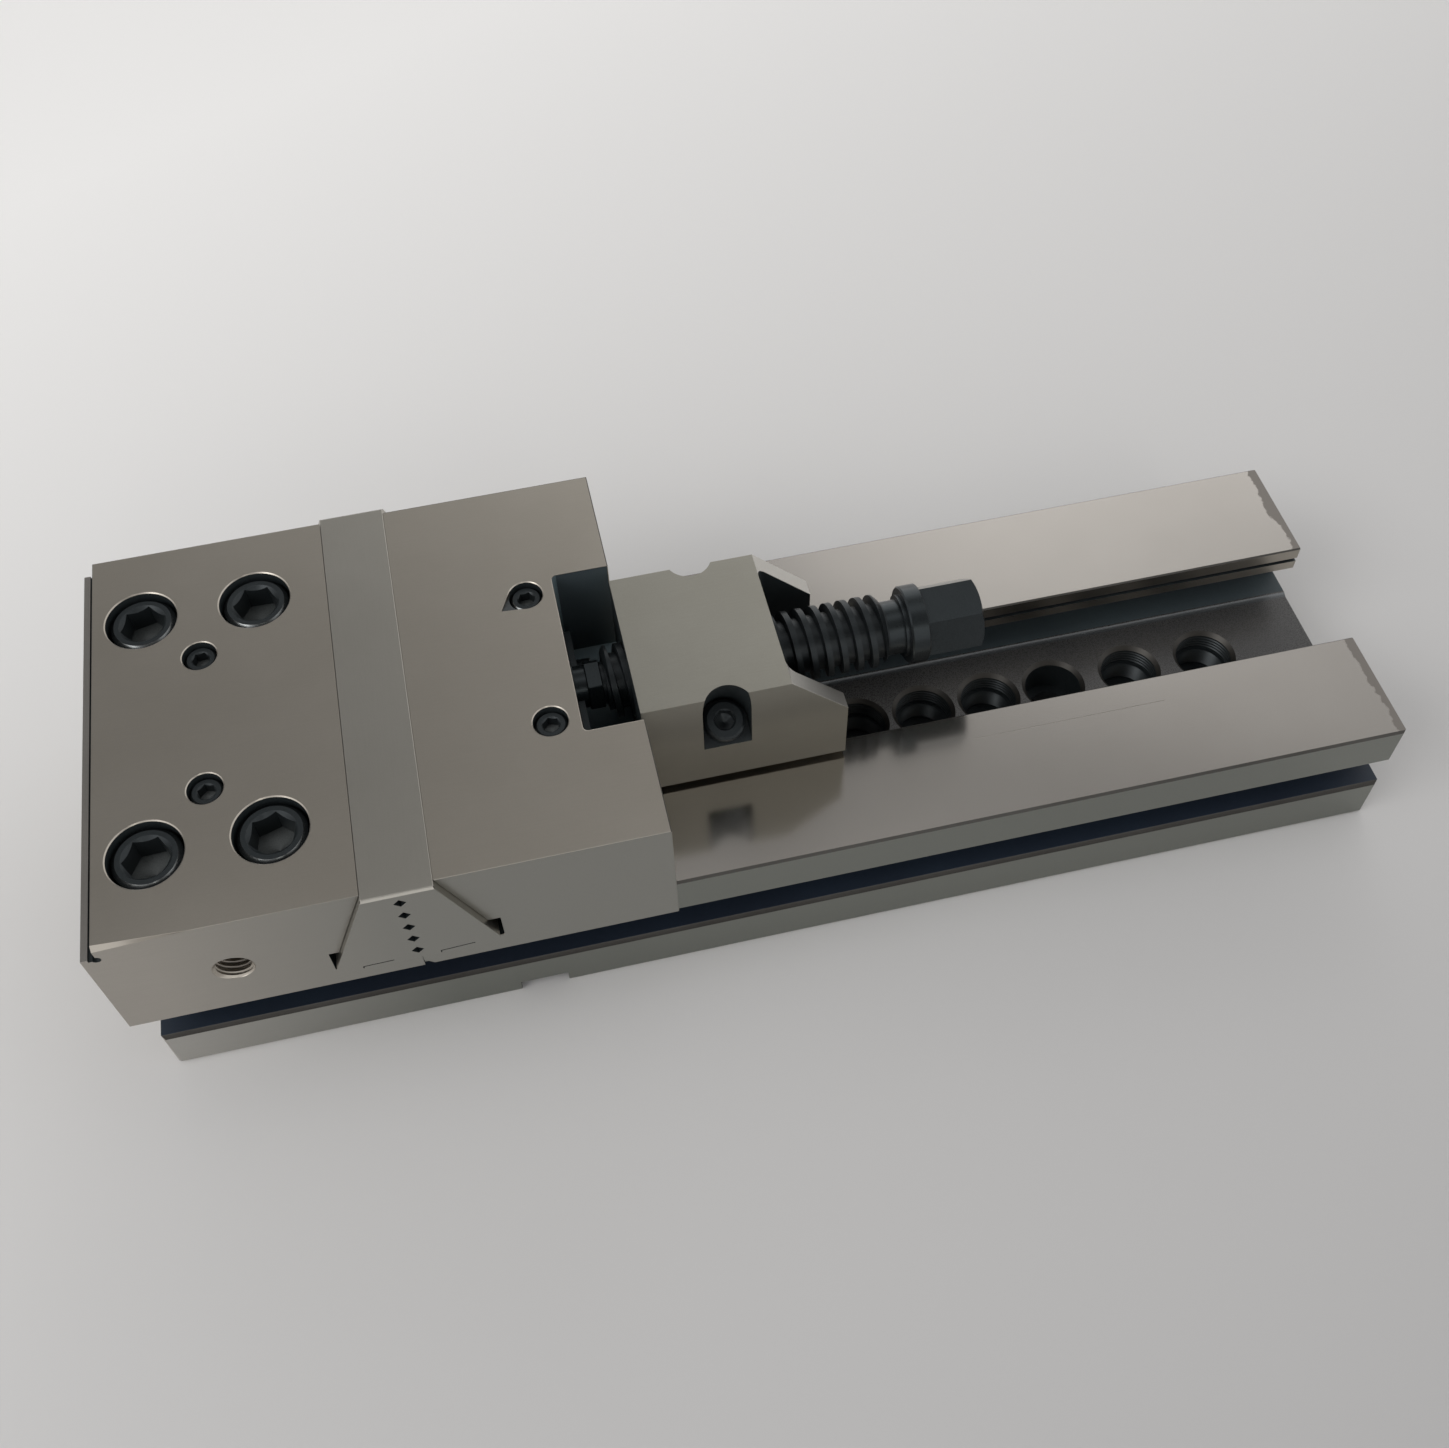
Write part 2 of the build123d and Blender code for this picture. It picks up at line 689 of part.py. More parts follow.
def make_nut_block():
    """Nut block: spindle bore, sloped tail with a slot, and two tilted open side pockets."""
    x0, x1 = nut_x
    body = wide_block(x0, x1, nut_half, nut_low, nut_top)
    body = chamfer(body.edges().filter_by(Axis.Z), nut_corner)
    drop = x1 - nut_slot_x
    body -= profile_along_y(
        [(nut_slot_x, nut_top), (x1, nut_top - drop), (x1 + 5, nut_top - drop),
         (x1 + 5, nut_top + 5), (nut_slot_x, nut_top + 5)],
        bed_width,
    )
    slot = wide_block(nut_slot_x, x1 + 10, nut_slot_half, nut_low - 1, nut_top + 1)
    inner = [e for e in slot.edges().filter_by(Axis.Z) if e.center().X < nut_slot_x + 1]
    body -= fillet(inner, nut_slot_radius)
    body -= rod_x(x0 - 1, nut_slot_x + 1, 0, axis_z, thread_radius + bore_gap)
    for side in (-1, 1):
        frame = screw_axis(side)
        reach = 2 * nut_height
        bore = Pos(0, 0, reach / 2 - clamp_head_height) * Cylinder(pocket_radius, reach)
        outward = Pos(0, side * reach / 2, reach / 2 - clamp_head_height)
        opening = outward * Box(2 * pocket_radius, reach, reach)
        shank_hole = Pos(0, 0, -reach / 2) * Cylinder(clamp_hole_radius, reach)
        body -= frame * (bore + opening)
        body -= frame * shank_hole
    return body


def make_nut_foot():
    """T-shaped foot of the nut block, with the pocket that the locating pin drops from."""
    x0, x1 = foot_x
    foot = wide_block(x0, x1, undercut_half - 2 * slide_gap, foot_low, undercut_top - slide_gap)
    foot = chamfer(foot.edges().filter_by(Axis.Z), shoe_corner)
    foot += wide_block(x0, neck_end_x, channel_half - slide_gap, foot_low + shoe_neck_step, nut_low)
    foot -= rod_z(pin_x, 0, foot_low - 1, pin_pocket_z, hole_radius)
    foot -= rod_y(pin_x, -undercut_half - 1, -pin_radius + 1, guide_z, guide_radius + bore_gap)
    for side in (-1, 1):
        depth = clamp_length + clamp_head_height + tap_spare
        hole = Pos(0, 0, -depth / 2) * Cylinder(clamp_radius + bore_gap, depth)
        foot -= screw_axis(side) * hole
    return foot


def make_nut_foot_screws():
    screw = socket_screw(clamp_radius, clamp_length, clamp_head_radius, clamp_head_height,
                         clamp_socket)
    screw = Pos(0, 0, -clamp_head_height) * screw
    return Compound(children=[screw_axis(side) * screw for side in (-1, 1)])


def make_index_pin():
    pin = rod_z(pin_x, 0, pin_low, pin_high, pin_radius)
    pin = chamfer(pin.edges().group_by(Axis.Z)[0], edge_break)
    groove_low = guide_z - guide_radius - guide_side_gap
    groove_high = guide_z + guide_radius + pin_drop + guide_side_gap
    width = guide_radius + guide_side_gap
    groove_end = -pin_radius + guide_depth + guide_end_gap
    pin -= block(pin_x - width, pin_x + width, -pin_radius - 1, groove_end, groove_low,
                 groove_high)
    return pin


def make_pin_guide_screw():
    y0 = -undercut_half + guide_inset
    y1 = -pin_radius + guide_depth
    screw = rod_y(pin_x, y0, y1, guide_z, guide_radius)
    plane = Plane(origin=(pin_x, y0, guide_z), x_dir=(1, 0, 0), z_dir=(0, 1, 0))
    key = extrude(RegularPolygon(guide_socket / 2, 6, major_radius=False), amount=guide_key_depth)
    return screw - plane * key


def write(name, shape):
    export_step(Pos(-bed_length / 2, 0, 0) * shape, f"parts/{name}.step")


write("bed", make_bed())
write("fixed_jaw", make_fixed_jaw())
write("fixed_jaw_key", make_fixed_key())
write("fixed_key_screws", make_fixed_key_screws())
write("fixed_jaw_screws", make_fixed_jaw_screws())
write("fixed_jaw_plate", make_plate())
write("fixed_draw_pins", make_draw_pins())
write("fixed_lock_screws", make_lock_screws())
write("movable_jaw", make_movable_jaw())
write("movable_jaw_plate", flip(make_plate()))
write("movable_draw_pins", flip(make_draw_pins()))
write("movable_lock_screws", flip(make_lock_screws()))
write("jaw_guide_shoe", make_shoe())
write("jaw_shoe_screws", make_shoe_screws())
write("spindle_retainer", make_retainer())
write("retainer_screws", make_retainer_screws())
write("thrust_segment", make_thrust_segment())
write("spindle", make_spindle())
write("nut_block", make_nut_block())
write("nut_foot", make_nut_foot())
write("nut_foot_screws", make_nut_foot_screws())
write("index_pin", make_index_pin())
write("pin_guide_screw", make_pin_guide_screw())
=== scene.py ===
import json
from math import asin, atan2, cos, hypot, pi, radians, sin

import bpy
from mathutils import Matrix, Vector


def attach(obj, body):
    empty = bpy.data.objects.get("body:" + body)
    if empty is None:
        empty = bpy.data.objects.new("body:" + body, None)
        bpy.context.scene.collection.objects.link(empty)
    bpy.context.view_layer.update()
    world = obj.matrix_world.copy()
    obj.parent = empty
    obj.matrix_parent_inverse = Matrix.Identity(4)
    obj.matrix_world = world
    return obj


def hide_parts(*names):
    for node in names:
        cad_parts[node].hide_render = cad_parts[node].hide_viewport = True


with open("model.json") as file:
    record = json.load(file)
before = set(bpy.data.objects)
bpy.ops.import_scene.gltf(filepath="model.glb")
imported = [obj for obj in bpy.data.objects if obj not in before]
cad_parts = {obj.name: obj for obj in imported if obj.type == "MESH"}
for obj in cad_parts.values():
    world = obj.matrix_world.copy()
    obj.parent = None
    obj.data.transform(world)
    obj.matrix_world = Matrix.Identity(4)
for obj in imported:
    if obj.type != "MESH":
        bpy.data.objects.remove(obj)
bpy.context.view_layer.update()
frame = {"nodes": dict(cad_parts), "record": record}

MM = 0.001
SIDES = (-1, 1)
SIDE_NAMES = {-1: "front", 1: "back"}
ALONG, ACROSS, UP, DOWN = (1, 0, 0), (0, 1, 0), (0, 0, 1), (0, 0, -1)
TO_JAW = (-1, 0, 0)

# Sizes are in millimetres: x from the bed's fixed end as on the workshop drawing, y to the
# back from the middle, z up from the underside. A name ending in SIDE is the y of a face,
# the same at the front and at the back.
PAST = 80  # how far a long cutter reaches to each side
BED_LENGTH = 420
BED_MIDDLE = 210.0
BED_SIDE = 62.5
BED_TOP = 50
CHANNEL_SIDE = 21
UNDERCUT_SIDE = 31
UNDERCUT_FLOOR = 26.3
UNDERCUT_TOP = 39.5
STRIP_FOOT, STRIP_HEAD = 18.7, 21.9  # the sloped strips beside the channel's floor
WIPER_SIDE = 22.8
HOLE_TOP = 26.7
GROOVE_FLOOR = 50.5
GROOVE_LOW, GROOVE_HIGH = 19.5, 33.5
HOLE_X = (195.0, 224.0, 248.45, 272.9, 297.35, 321.8, 350.8, 379.8)
ANCHOR_X = 321.8
JAW_HOLE_TOP = 99
JAW_SIDE = 72.5
JAW_TOP = 98.0
JAW_END = 169.3
STEP_X, STEP_Z = 4.4, 92.6
PLATE_SIDE, PLATE_START, PLATE_FOOT = 75, 64.96, 60.02
PARTING = 89.5  # the two plates' faces meet here
FLANK = (29.0, 11.717)  # rise and run of the slopes behind the plates
JAW_SCREW_X = (19.85, 55.85)
JAW_SCREW_Y = 44.5
LOCK_X = {"fixed": PARTING - 51.85, "movable": PARTING + 51.85}
LOCK_Y = 25.5
PIN_Z, PIN_BORE = 80, 5.05
SIDE_HOLE_X, SIDE_HOLE_Z = 37, 72
SLOT_START, SLOT_SIDE, SLOT_FLOOR = 150.6, 31.5, 58  # the movable jaw's rear slot
AXIS_Z = 78.0  # height of the spindle


def at(x, y, z):
    """A point of the drawing, in the scene's metres."""
    return Vector(((x - BED_MIDDLE) * MM, y * MM, z * MM))


def drawn(point):
    """A point of the scene, back on the drawing."""
    return (point.x / MM + BED_MIDDLE, point.y / MM, point.z / MM)


def same(a, b):
    return abs(a - b) < 0.02


# ---- small tools for modelling by hand ----

SHARP_ABOVE = radians(50)  # edges steeper than this are broken
SMOOTH_BELOW = radians(33)  # neighbouring faces nearer than this shade as one


def deselect():
    if bpy.context.mode != "OBJECT":
        bpy.ops.object.mode_set(mode="OBJECT")
    bpy.ops.object.select_all(action="DESELECT")


def pick(*objects):
    deselect()
    for obj in objects:
        obj.select_set(True)
    bpy.context.view_layer.objects.active = objects[0]


def settle(obj):
    pick(obj)
    bpy.ops.object.transform_apply(location=True, rotation=True, scale=True)
    return obj


def block(name, low, high):
    """A cube stretched between two corners."""
    deselect()
    a, b = at(*low), at(*high)
    bpy.ops.mesh.primitive_cube_add(size=1, location=(a + b) / 2)
    obj = bpy.context.object
    obj.name = name
    obj.scale = b - a
    return settle(obj)


def stand(obj, point, direction, roll=0.0):
    """Turns an object from the z axis to a direction and puts its origin on a point."""
    turn = Vector(direction).to_track_quat("Z", "Y").to_matrix() @ Matrix.Rotation(roll, 3, "Z")
    obj.rotation_euler = turn.to_euler()
    obj.location = at(*point)
    return settle(obj)


def turned(name, start, direction, steps, sides=64, roll=0.0):
    """A bar turned on the lathe: rings of (distance, radius) along a direction."""
    deselect()
    bpy.ops.mesh.primitive_circle_add(vertices=sides, radius=steps[0][1] * MM, fill_type="NGON",
                                      location=(0, 0, 0))
    obj = bpy.context.object
    obj.name = name
    bpy.ops.object.mode_set(mode="EDIT")
    bpy.ops.mesh.select_mode(type="FACE")
    bpy.ops.mesh.select_all(action="SELECT")
    for (near, narrow), (far, wide) in zip(steps, steps[1:]):
        step = (0, 0, (far - near) * MM)
        bpy.ops.mesh.extrude_region_move(TRANSFORM_OT_translate={"value": step})
        if wide != narrow:
            ratio = wide / narrow
            bpy.ops.transform.resize(value=(ratio, ratio, 1),
                                     center_override=(0, 0, (far - steps[0][0]) * MM))
    bpy.ops.mesh.select_all(action="SELECT")
    bpy.ops.mesh.normals_make_consistent(inside=False)
    bpy.ops.object.mode_set(mode="OBJECT")
    return stand(obj, start, direction, roll)


def bar(name, start, direction, length, radius, sides=64, roll=0.0):
    """A plain round bar, or a prism if it has few sides."""
    return turned(name, start, direction, [(0, radius), (length, radius)], sides, roll)


def boolean(piece, tool, operation):
    step = piece.modifiers.new("step", "BOOLEAN")
    step.object = tool
    step.operation = operation
    step.solver = "EXACT"
    pick(piece)
    bpy.ops.object.modifier_apply(modifier="step")
    bpy.data.objects.remove(tool, do_unlink=True)


def cut(piece, *tools):
    for tool in tools:
        boolean(piece, tool, "DIFFERENCE")


def weld(piece, *others):
    for other in others:
        boolean(piece, other, "UNION")


def copy_of(piece, name):
    """A copy with a mesh of its own."""
    pick(piece)
    bpy.ops.object.duplicate(linked=False)
    twin = bpy.context.object
    twin.name = name
    return twin


def choose_edges(piece, test):
    """Enters edit mode with the edges selected whose two ends pass the test."""
    pick(piece)
    bpy.ops.object.mode_set(mode="EDIT")
    bpy.ops.mesh.select_mode(type="EDGE")
    bpy.ops.mesh.select_all(action="DESELECT")
    bpy.ops.object.mode_set(mode="OBJECT")
    points = [drawn(vertex.co) for vertex in piece.data.vertices]
    for edge in piece.data.edges:
        edge.select = test(points[edge.vertices[0]], points[edge.vertices[1]])
    bpy.ops.object.mode_set(mode="EDIT")


def bevel_edges(piece, size, test, segments=1):
    choose_edges(piece, test)
    bpy.ops.mesh.bevel(offset=size * MM, offset_type="OFFSET", segments=segments)
    deselect()


def slice_off(piece, point, normal):
    """Cuts away what lies beyond the plane, on the side its normal points to."""
    pick(piece)
    bpy.ops.object.mode_set(mode="EDIT")
    bpy.ops.mesh.select_all(action="SELECT")
    bpy.ops.mesh.bisect(plane_co=at(*point), plane_no=Vector(normal).normalized(),
                        use_fill=True, clear_outer=True)
    deselect()


def soften(piece, size):
    """Breaks the sharp edges by a small rounding."""
    step = piece.modifiers.new("soften", "BEVEL")
    step.width = size * MM
    step.segments = 2
    step.limit_method = "ANGLE"
    step.angle_limit = SHARP_ABOVE
    step.use_clamp_overlap = True
    pick(piece)
    bpy.ops.object.modifier_apply(modifier="soften")


def finish_piece(piece, body, material, slot, *nodes):
    """Even shading, the main finish, the body it rides on and the solids it stands for."""
    pick(piece)
    bpy.ops.object.shade_smooth_by_angle(angle=SMOOTH_BELOW)
    even = piece.modifiers.new("even", "WEIGHTED_NORMAL")
    even.keep_sharp = True
    bpy.ops.object.modifier_apply(modifier="even")
    piece.data.materials.clear()
    piece.data.materials.append(material)
    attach(piece, body)
    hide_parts(*nodes)


def paint(piece, material, test):
    """Gives another finish to the faces whose middle and normal pass the test."""
    piece.data.materials.append(material)
    index = len(piece.data.materials) - 1
    for face in piece.data.polygons:
        if test(drawn(face.center), face.normal):
            face.material_index = index


def helix(name, pitch, turns, inner, outer, base, tip, sides):
    """A thread ridge round the z axis, standing on the origin, closed at both ends."""
    deselect()
    bpy.ops.mesh.primitive_plane_add(size=1, location=(0, 0, 0))
    ridge = bpy.context.object
    ridge.name = name
    corners = ((inner, -base / 2), (inner, base / 2), (outer, tip / 2), (outer, -tip / 2))
    for vertex, index in zip(ridge.data.vertices, (0, 1, 3, 2)):
        radius, rise = corners[index]
        vertex.co = (radius * MM, 0, rise * MM)
    step = ridge.modifiers.new("wind", "SCREW")
    step.angle = 2 * pi
    step.screw_offset = pitch * MM
    step.iterations = turns
    step.steps = sides
    step.render_steps = sides
    step.use_merge_vertices = False
    pick(ridge)
    bpy.ops.object.modifier_apply(modifier="wind")
    bpy.ops.object.mode_set(mode="EDIT")
    bpy.ops.mesh.select_all(action="SELECT")
    bpy.ops.mesh.remove_doubles(threshold=1e-6)
    bpy.ops.mesh.fill_holes(sides=4)
    bpy.ops.mesh.normals_make_consistent(inside=False)
    deselect()
    return ridge


# ---- finishes ----


def new_material(name):
    material = bpy.data.materials.new(name)
    material.use_nodes = True
    return material, material.node_tree.nodes, material.node_tree.links


def noise(nodes, links, scale, stretch=(1, 1, 1), detail=4.0, roughness=0.55):
    """Noise on the piece's own coordinates, in turns per metre."""
    coordinates = nodes.new("ShaderNodeTexCoord")
    mapping = nodes.new("ShaderNodeMapping")
    mapping.inputs["Scale"].default_value = stretch
    texture = nodes.new("ShaderNodeTexNoise")
    texture.inputs["Scale"].default_value = scale
    texture.inputs["Detail"].default_value = detail
    texture.inputs["Roughness"].default_value = roughness
    links.new(coordinates.outputs["Object"], mapping.inputs["Vector"])
    links.new(mapping.outputs["Vector"], texture.inputs["Vector"])
    return texture.outputs["Fac"]


def ramp(nodes, links, source, stops):
    """Colour ramp over a value; stops are (place, colour or grey)."""
    node = nodes.new("ShaderNodeValToRGB")
    elements = node.color_ramp.elements
    for index, (place, colour) in enumerate(stops):
        element = elements[index] if index < 2 else elements.new(place)
        element.position = place
        element.color = (colour,) * 3 + (1,) if isinstance(colour, float) else (*colour, 1)
    links.new(source, node.inputs["Fac"])
    return node.outputs["Color"]


def own_place(nodes, links):
    """Where a point lies in the piece's own coordinates: outputs X, Y and Z."""
    coordinates = nodes.new("ShaderNodeTexCoord")
    split = nodes.new("ShaderNodeSeparateXYZ")
    links.new(coordinates.outputs["Object"], split.inputs["Vector"])
    return split.outputs


def times_plus(nodes, links, value, factor, other):
    """A value times a number, plus another value."""
    node = nodes.new("ShaderNodeMath")
    node.operation = "MULTIPLY_ADD"
    node.inputs[1].default_value = factor
    links.new(value, node.inputs[0])
    links.new(other, node.inputs[2])
    return node.outputs[0]


def span(nodes, links, value, start, end, low=0.0, high=1.0, smooth=False):
    """Carries a value from start and end over to low and high, and holds it past them."""
    node = nodes.new("ShaderNodeMapRange")
    if smooth:
        node.interpolation_type = "SMOOTHSTEP"
    for socket, number in (("From Min", start), ("From Max", end), ("To Min", low),
                           ("To Max", high)):
        node.inputs[socket].default_value = number
    links.new(value, node.inputs["Value"])
    return node.outputs["Result"]


def lean(nodes, links, direction, towards):
    """How far a direction leans towards another."""
    node = nodes.new("ShaderNodeVectorMath")
    node.operation = "DOT_PRODUCT"
    node.inputs[1].default_value = towards
    links.new(direction, node.inputs[0])
    return node.outputs["Value"]


def mix(nodes, links, kind, factor, a, b):
    node = nodes.new("ShaderNodeMix")
    node.data_type = "RGBA"
    node.blend_type = kind
    if isinstance(factor, float):
        node.inputs[0].default_value = factor
    else:
        links.new(factor, node.inputs[0])
    for socket, value in ((node.inputs[6], a), (node.inputs[7], b)):
        if isinstance(value, tuple):
            socket.default_value = (*value, 1)
        else:
            links.new(value, socket)
    return node.outputs[2]


BLOTCHES, SPECKS = 24, 2600  # turns of noise per metre


def steel(name, colour, blotch, grain, metallic, rough, stretch, bump=0.02):
    """Worn steel: slow blotches, fine grinding lines and a speckle, in colour and gloss."""
    material, nodes, links = new_material(name)
    shader = nodes["Principled BSDF"]
    shader.inputs["Metallic"].default_value = metallic
    slow = noise(nodes, links, BLOTCHES, detail=4.0)
    lines = noise(nodes, links, SPECKS, stretch=stretch, detail=3.0, roughness=0.6)
    speck = noise(nodes, links, SPECKS, detail=2.0, roughness=0.6)
    base = ramp(nodes, links, slow, ((0.3, blotch), (0.7, colour)))
    streak = ramp(nodes, links, lines, ((0.25, 1.0 - grain * 0.5), (0.75, 1.0)))
    grit = ramp(nodes, links, speck, ((0.2, 1.0 - grain), (0.8, 1.0)))
    base = mix(nodes, links, "MULTIPLY", 1.0, base, streak)
    base = mix(nodes, links, "MULTIPLY", 1.0, base, grit)
    links.new(base, shader.inputs["Base Color"])
    gloss = ramp(nodes, links, speck, ((0.3, rough - 0.03), (0.7, rough + 0.03)))
    links.new(gloss, shader.inputs["Roughness"])
    relief = nodes.new("ShaderNodeBump")
    relief.inputs["Strength"].default_value = bump
    relief.inputs["Distance"].default_value = 0.0001
    links.new(lines, relief.inputs["Height"])
    links.new(relief.outputs["Normal"], shader.inputs["Normal"])
    return material


def worn_rail_ends(material, start, spread, dull):
    """Dull unground band at the bed's free end, with an uneven border."""
    nodes, links = material.node_tree.nodes, material.node_tree.links
    shader = nodes["Principled BSDF"]
    wander = noise(nodes, links, 130, detail=5.0, roughness=0.65)
    border = times_plus(nodes, links, wander, spread * MM, own_place(nodes, links)["X"])
    middle = at(start, 0, 0).x + 0.5 * spread * MM
    blur = 0.2 * MM
    edge = span(nodes, links, border, middle - blur, middle + blur)
    for socket, worn in (("Base Color", dull), ("Roughness", (0.42, 0.42, 0.42))):
        ground = shader.inputs[socket].links[0].from_socket
        links.new(mix(nodes, links, "MIX", edge, ground, worn), shader.inputs[socket])


def shade_along_bed(material, start, end, shaded_tone):
    """Painted shade: lets a finish go over to another tone along the bed, standing in for light
    falling off along it.
    """
    nodes, links = material.node_tree.nodes, material.node_tree.links
    base = nodes["Principled BSDF"].inputs["Base Color"]
    along = span(nodes, links, own_place(nodes, links)["X"], at(start, 0, 0).x,
                 at(end, 0, 0).x)
    links.new(mix(nodes, links, "MIX", along, base.links[0].from_socket, shaded_tone), base)


# Each finish: colour, blotches, grain, metallic, roughness, stretch of the grinding lines.
jaw_steel = steel("jaw_steel", (0.49, 0.452, 0.395), (0.46, 0.423, 0.366), 0.06, 1.0, 0.31,
                  (0.03, 1, 1))
plate_steel = steel("plate_steel", (0.47, 0.45, 0.405), (0.44, 0.42, 0.375), 0.06, 1.0, 0.32,
                    (1, 0.03, 1))
nut_steel = steel("nut_steel", (0.415, 0.40, 0.35), (0.385, 0.37, 0.32), 0.08, 1.0, 0.36,
                  (0.05, 1, 1))
rail_steel = steel("rail_steel", (0.65, 0.613, 0.567), (0.62, 0.583, 0.537), 0.05, 1.0, 0.15,
                   (0.02, 1, 1), bump=0.01)
worn_rail_ends(rail_steel, 416.9, 8.0, (0.25, 0.23, 0.21))
side_steel = steel("side_steel", (0.47, 0.442, 0.398), (0.45, 0.42, 0.378), 0.08, 1.0, 0.34,
                   (0.03, 1, 1))
# Painted shade: the sides and ends go darker from x 15 to x 85 along the bed.
shade_along_bed(side_steel, 15, 85, (0.315, 0.312, 0.286))
rail_side = steel("rail_side", (0.50, 0.49, 0.46), (0.47, 0.46, 0.43), 0.08, 1.0, 0.34,
                  (0.03, 1, 1))
# Painted shade: the bed's long sides go darker from x 8 to x 95 along the bed.
shade_along_bed(rail_side, 8, 95, (0.247, 0.256, 0.232))
# Painted light: a lighter copy of the nut's steel for its up-facing slopes.
lit_slope_steel = steel("lit_slope_steel", (0.62, 0.60, 0.56), (0.56, 0.54, 0.50), 0.12, 1.0, 0.38,
                    (0.05, 1, 1))
# Painted shade: a dark steel for broken edges and rims that stand in shade.
edge_shade_steel = steel("edge_shade_steel", (0.10, 0.095, 0.088), (0.07, 0.066, 0.06), 0.20, 0.9, 0.45,
                   (0.05, 1, 1), bump=0.05)
dull_steel = steel("dull_steel", (0.38, 0.36, 0.335), (0.34, 0.32, 0.295), 0.12, 1.0, 0.36,
                   (1, 0.05, 1))
channel_steel = steel("channel_steel", (0.150, 0.147, 0.144), (0.110, 0.109, 0.108), 0.25, 0.6,
                      0.28, (0.05, 1, 1), bump=0.05)
# Painted light: a lighter steel for the sloped strips, as light falling on them.
lit_strip_steel = steel("lit_strip_steel", (0.19, 0.20, 0.205), (0.16, 0.17, 0.175), 0.15, 0.7, 0.25,
                    (0.05, 1, 1))
groove_black = steel("groove_black", (0.016, 0.028, 0.048), (0.012, 0.020, 0.037), 0.3, 0.0,
                     0.55, (0.2, 1, 1), bump=0.05)
black_oxide = steel("black_oxide", (0.033, 0.040, 0.043), (0.023, 0.029, 0.032), 0.25, 0.5,
                    0.36, (1, 1, 1), bump=0.1)
black_spindle = steel("black_spindle", (0.043, 0.050, 0.054), (0.031, 0.037, 0.039), 0.2, 0.8,
                      0.30, (1, 0.1, 0.1), bump=0.1)
thread_black = steel("thread_black", (0.024, 0.029, 0.031), (0.018, 0.022, 0.024), 0.2, 0.6,
                     0.40, (1, 0.1, 0.1), bump=0.1)
# Painted light: a lighter black for the up-facing socket floors of the screws.
lit_socket_black = steel("lit_socket_black", (0.13, 0.14, 0.138), (0.09, 0.10, 0.098), 0.3, 0.5, 0.40,
                   (1, 1, 1), bump=0.1)
black_wall = steel("black_wall", (0.030, 0.038, 0.041), (0.022, 0.028, 0.031), 0.3, 0.2,
                   0.45, (1, 0.1, 1), bump=0.06)
slot_wall = steel("slot_wall", (0.15, 0.20, 0.22), (0.12, 0.165, 0.18), 0.25, 0.0, 0.6,
                  (1, 0.1, 1), bump=0.06)
# Painted shade: a darker copy of slot_wall for walls in the shade of a recess.
shaded_slot_wall = steel("shaded_slot_wall", (0.055, 0.075, 0.083), (0.045, 0.06, 0.068), 0.25, 0.0, 0.6,
                  (1, 0.1, 1), bump=0.06)
rim_black = steel("rim_black", (0.30, 0.31, 0.31), (0.16, 0.17, 0.17), 0.4, 1.0, 0.22,
                  (1, 1, 1), bump=0.1)
bare_steel = steel("bare_steel", (0.42, 0.41, 0.40), (0.36, 0.35, 0.34), 0.12, 1.0, 0.35,
                   (1, 0.05, 1))


# ---- bed ----


def floor_hole(x):
    """One round hole of the channel floor: a rim, thread rings and the smaller steps."""
    steps = [(0, 12.6), (2.6, 10.0)]
    if x == ANCHOR_X:
        steps += [(14.7, 10.0), (14.7, 6.75), (29, 6.75)]
    else:
        for turn in range(4):
            steps += [(3.3 + 1.4 * turn, 10.0), (3.7 + 1.4 * turn, 10.4),
                      (4.1 + 1.4 * turn, 10.0)]
        steps += [(9.2, 10.0), (9.2, 8.8), (9.8, 8.2)]
        for turn in range(6):
            steps += [(10.2 + turn, 8.7), (10.7 + turn, 8.1)]
        steps += [(16.7, 8.0), (16.7, 5.5), (29, 5.5)]
    return turned("hole", (x, 0, HOLE_TOP), DOWN, steps)


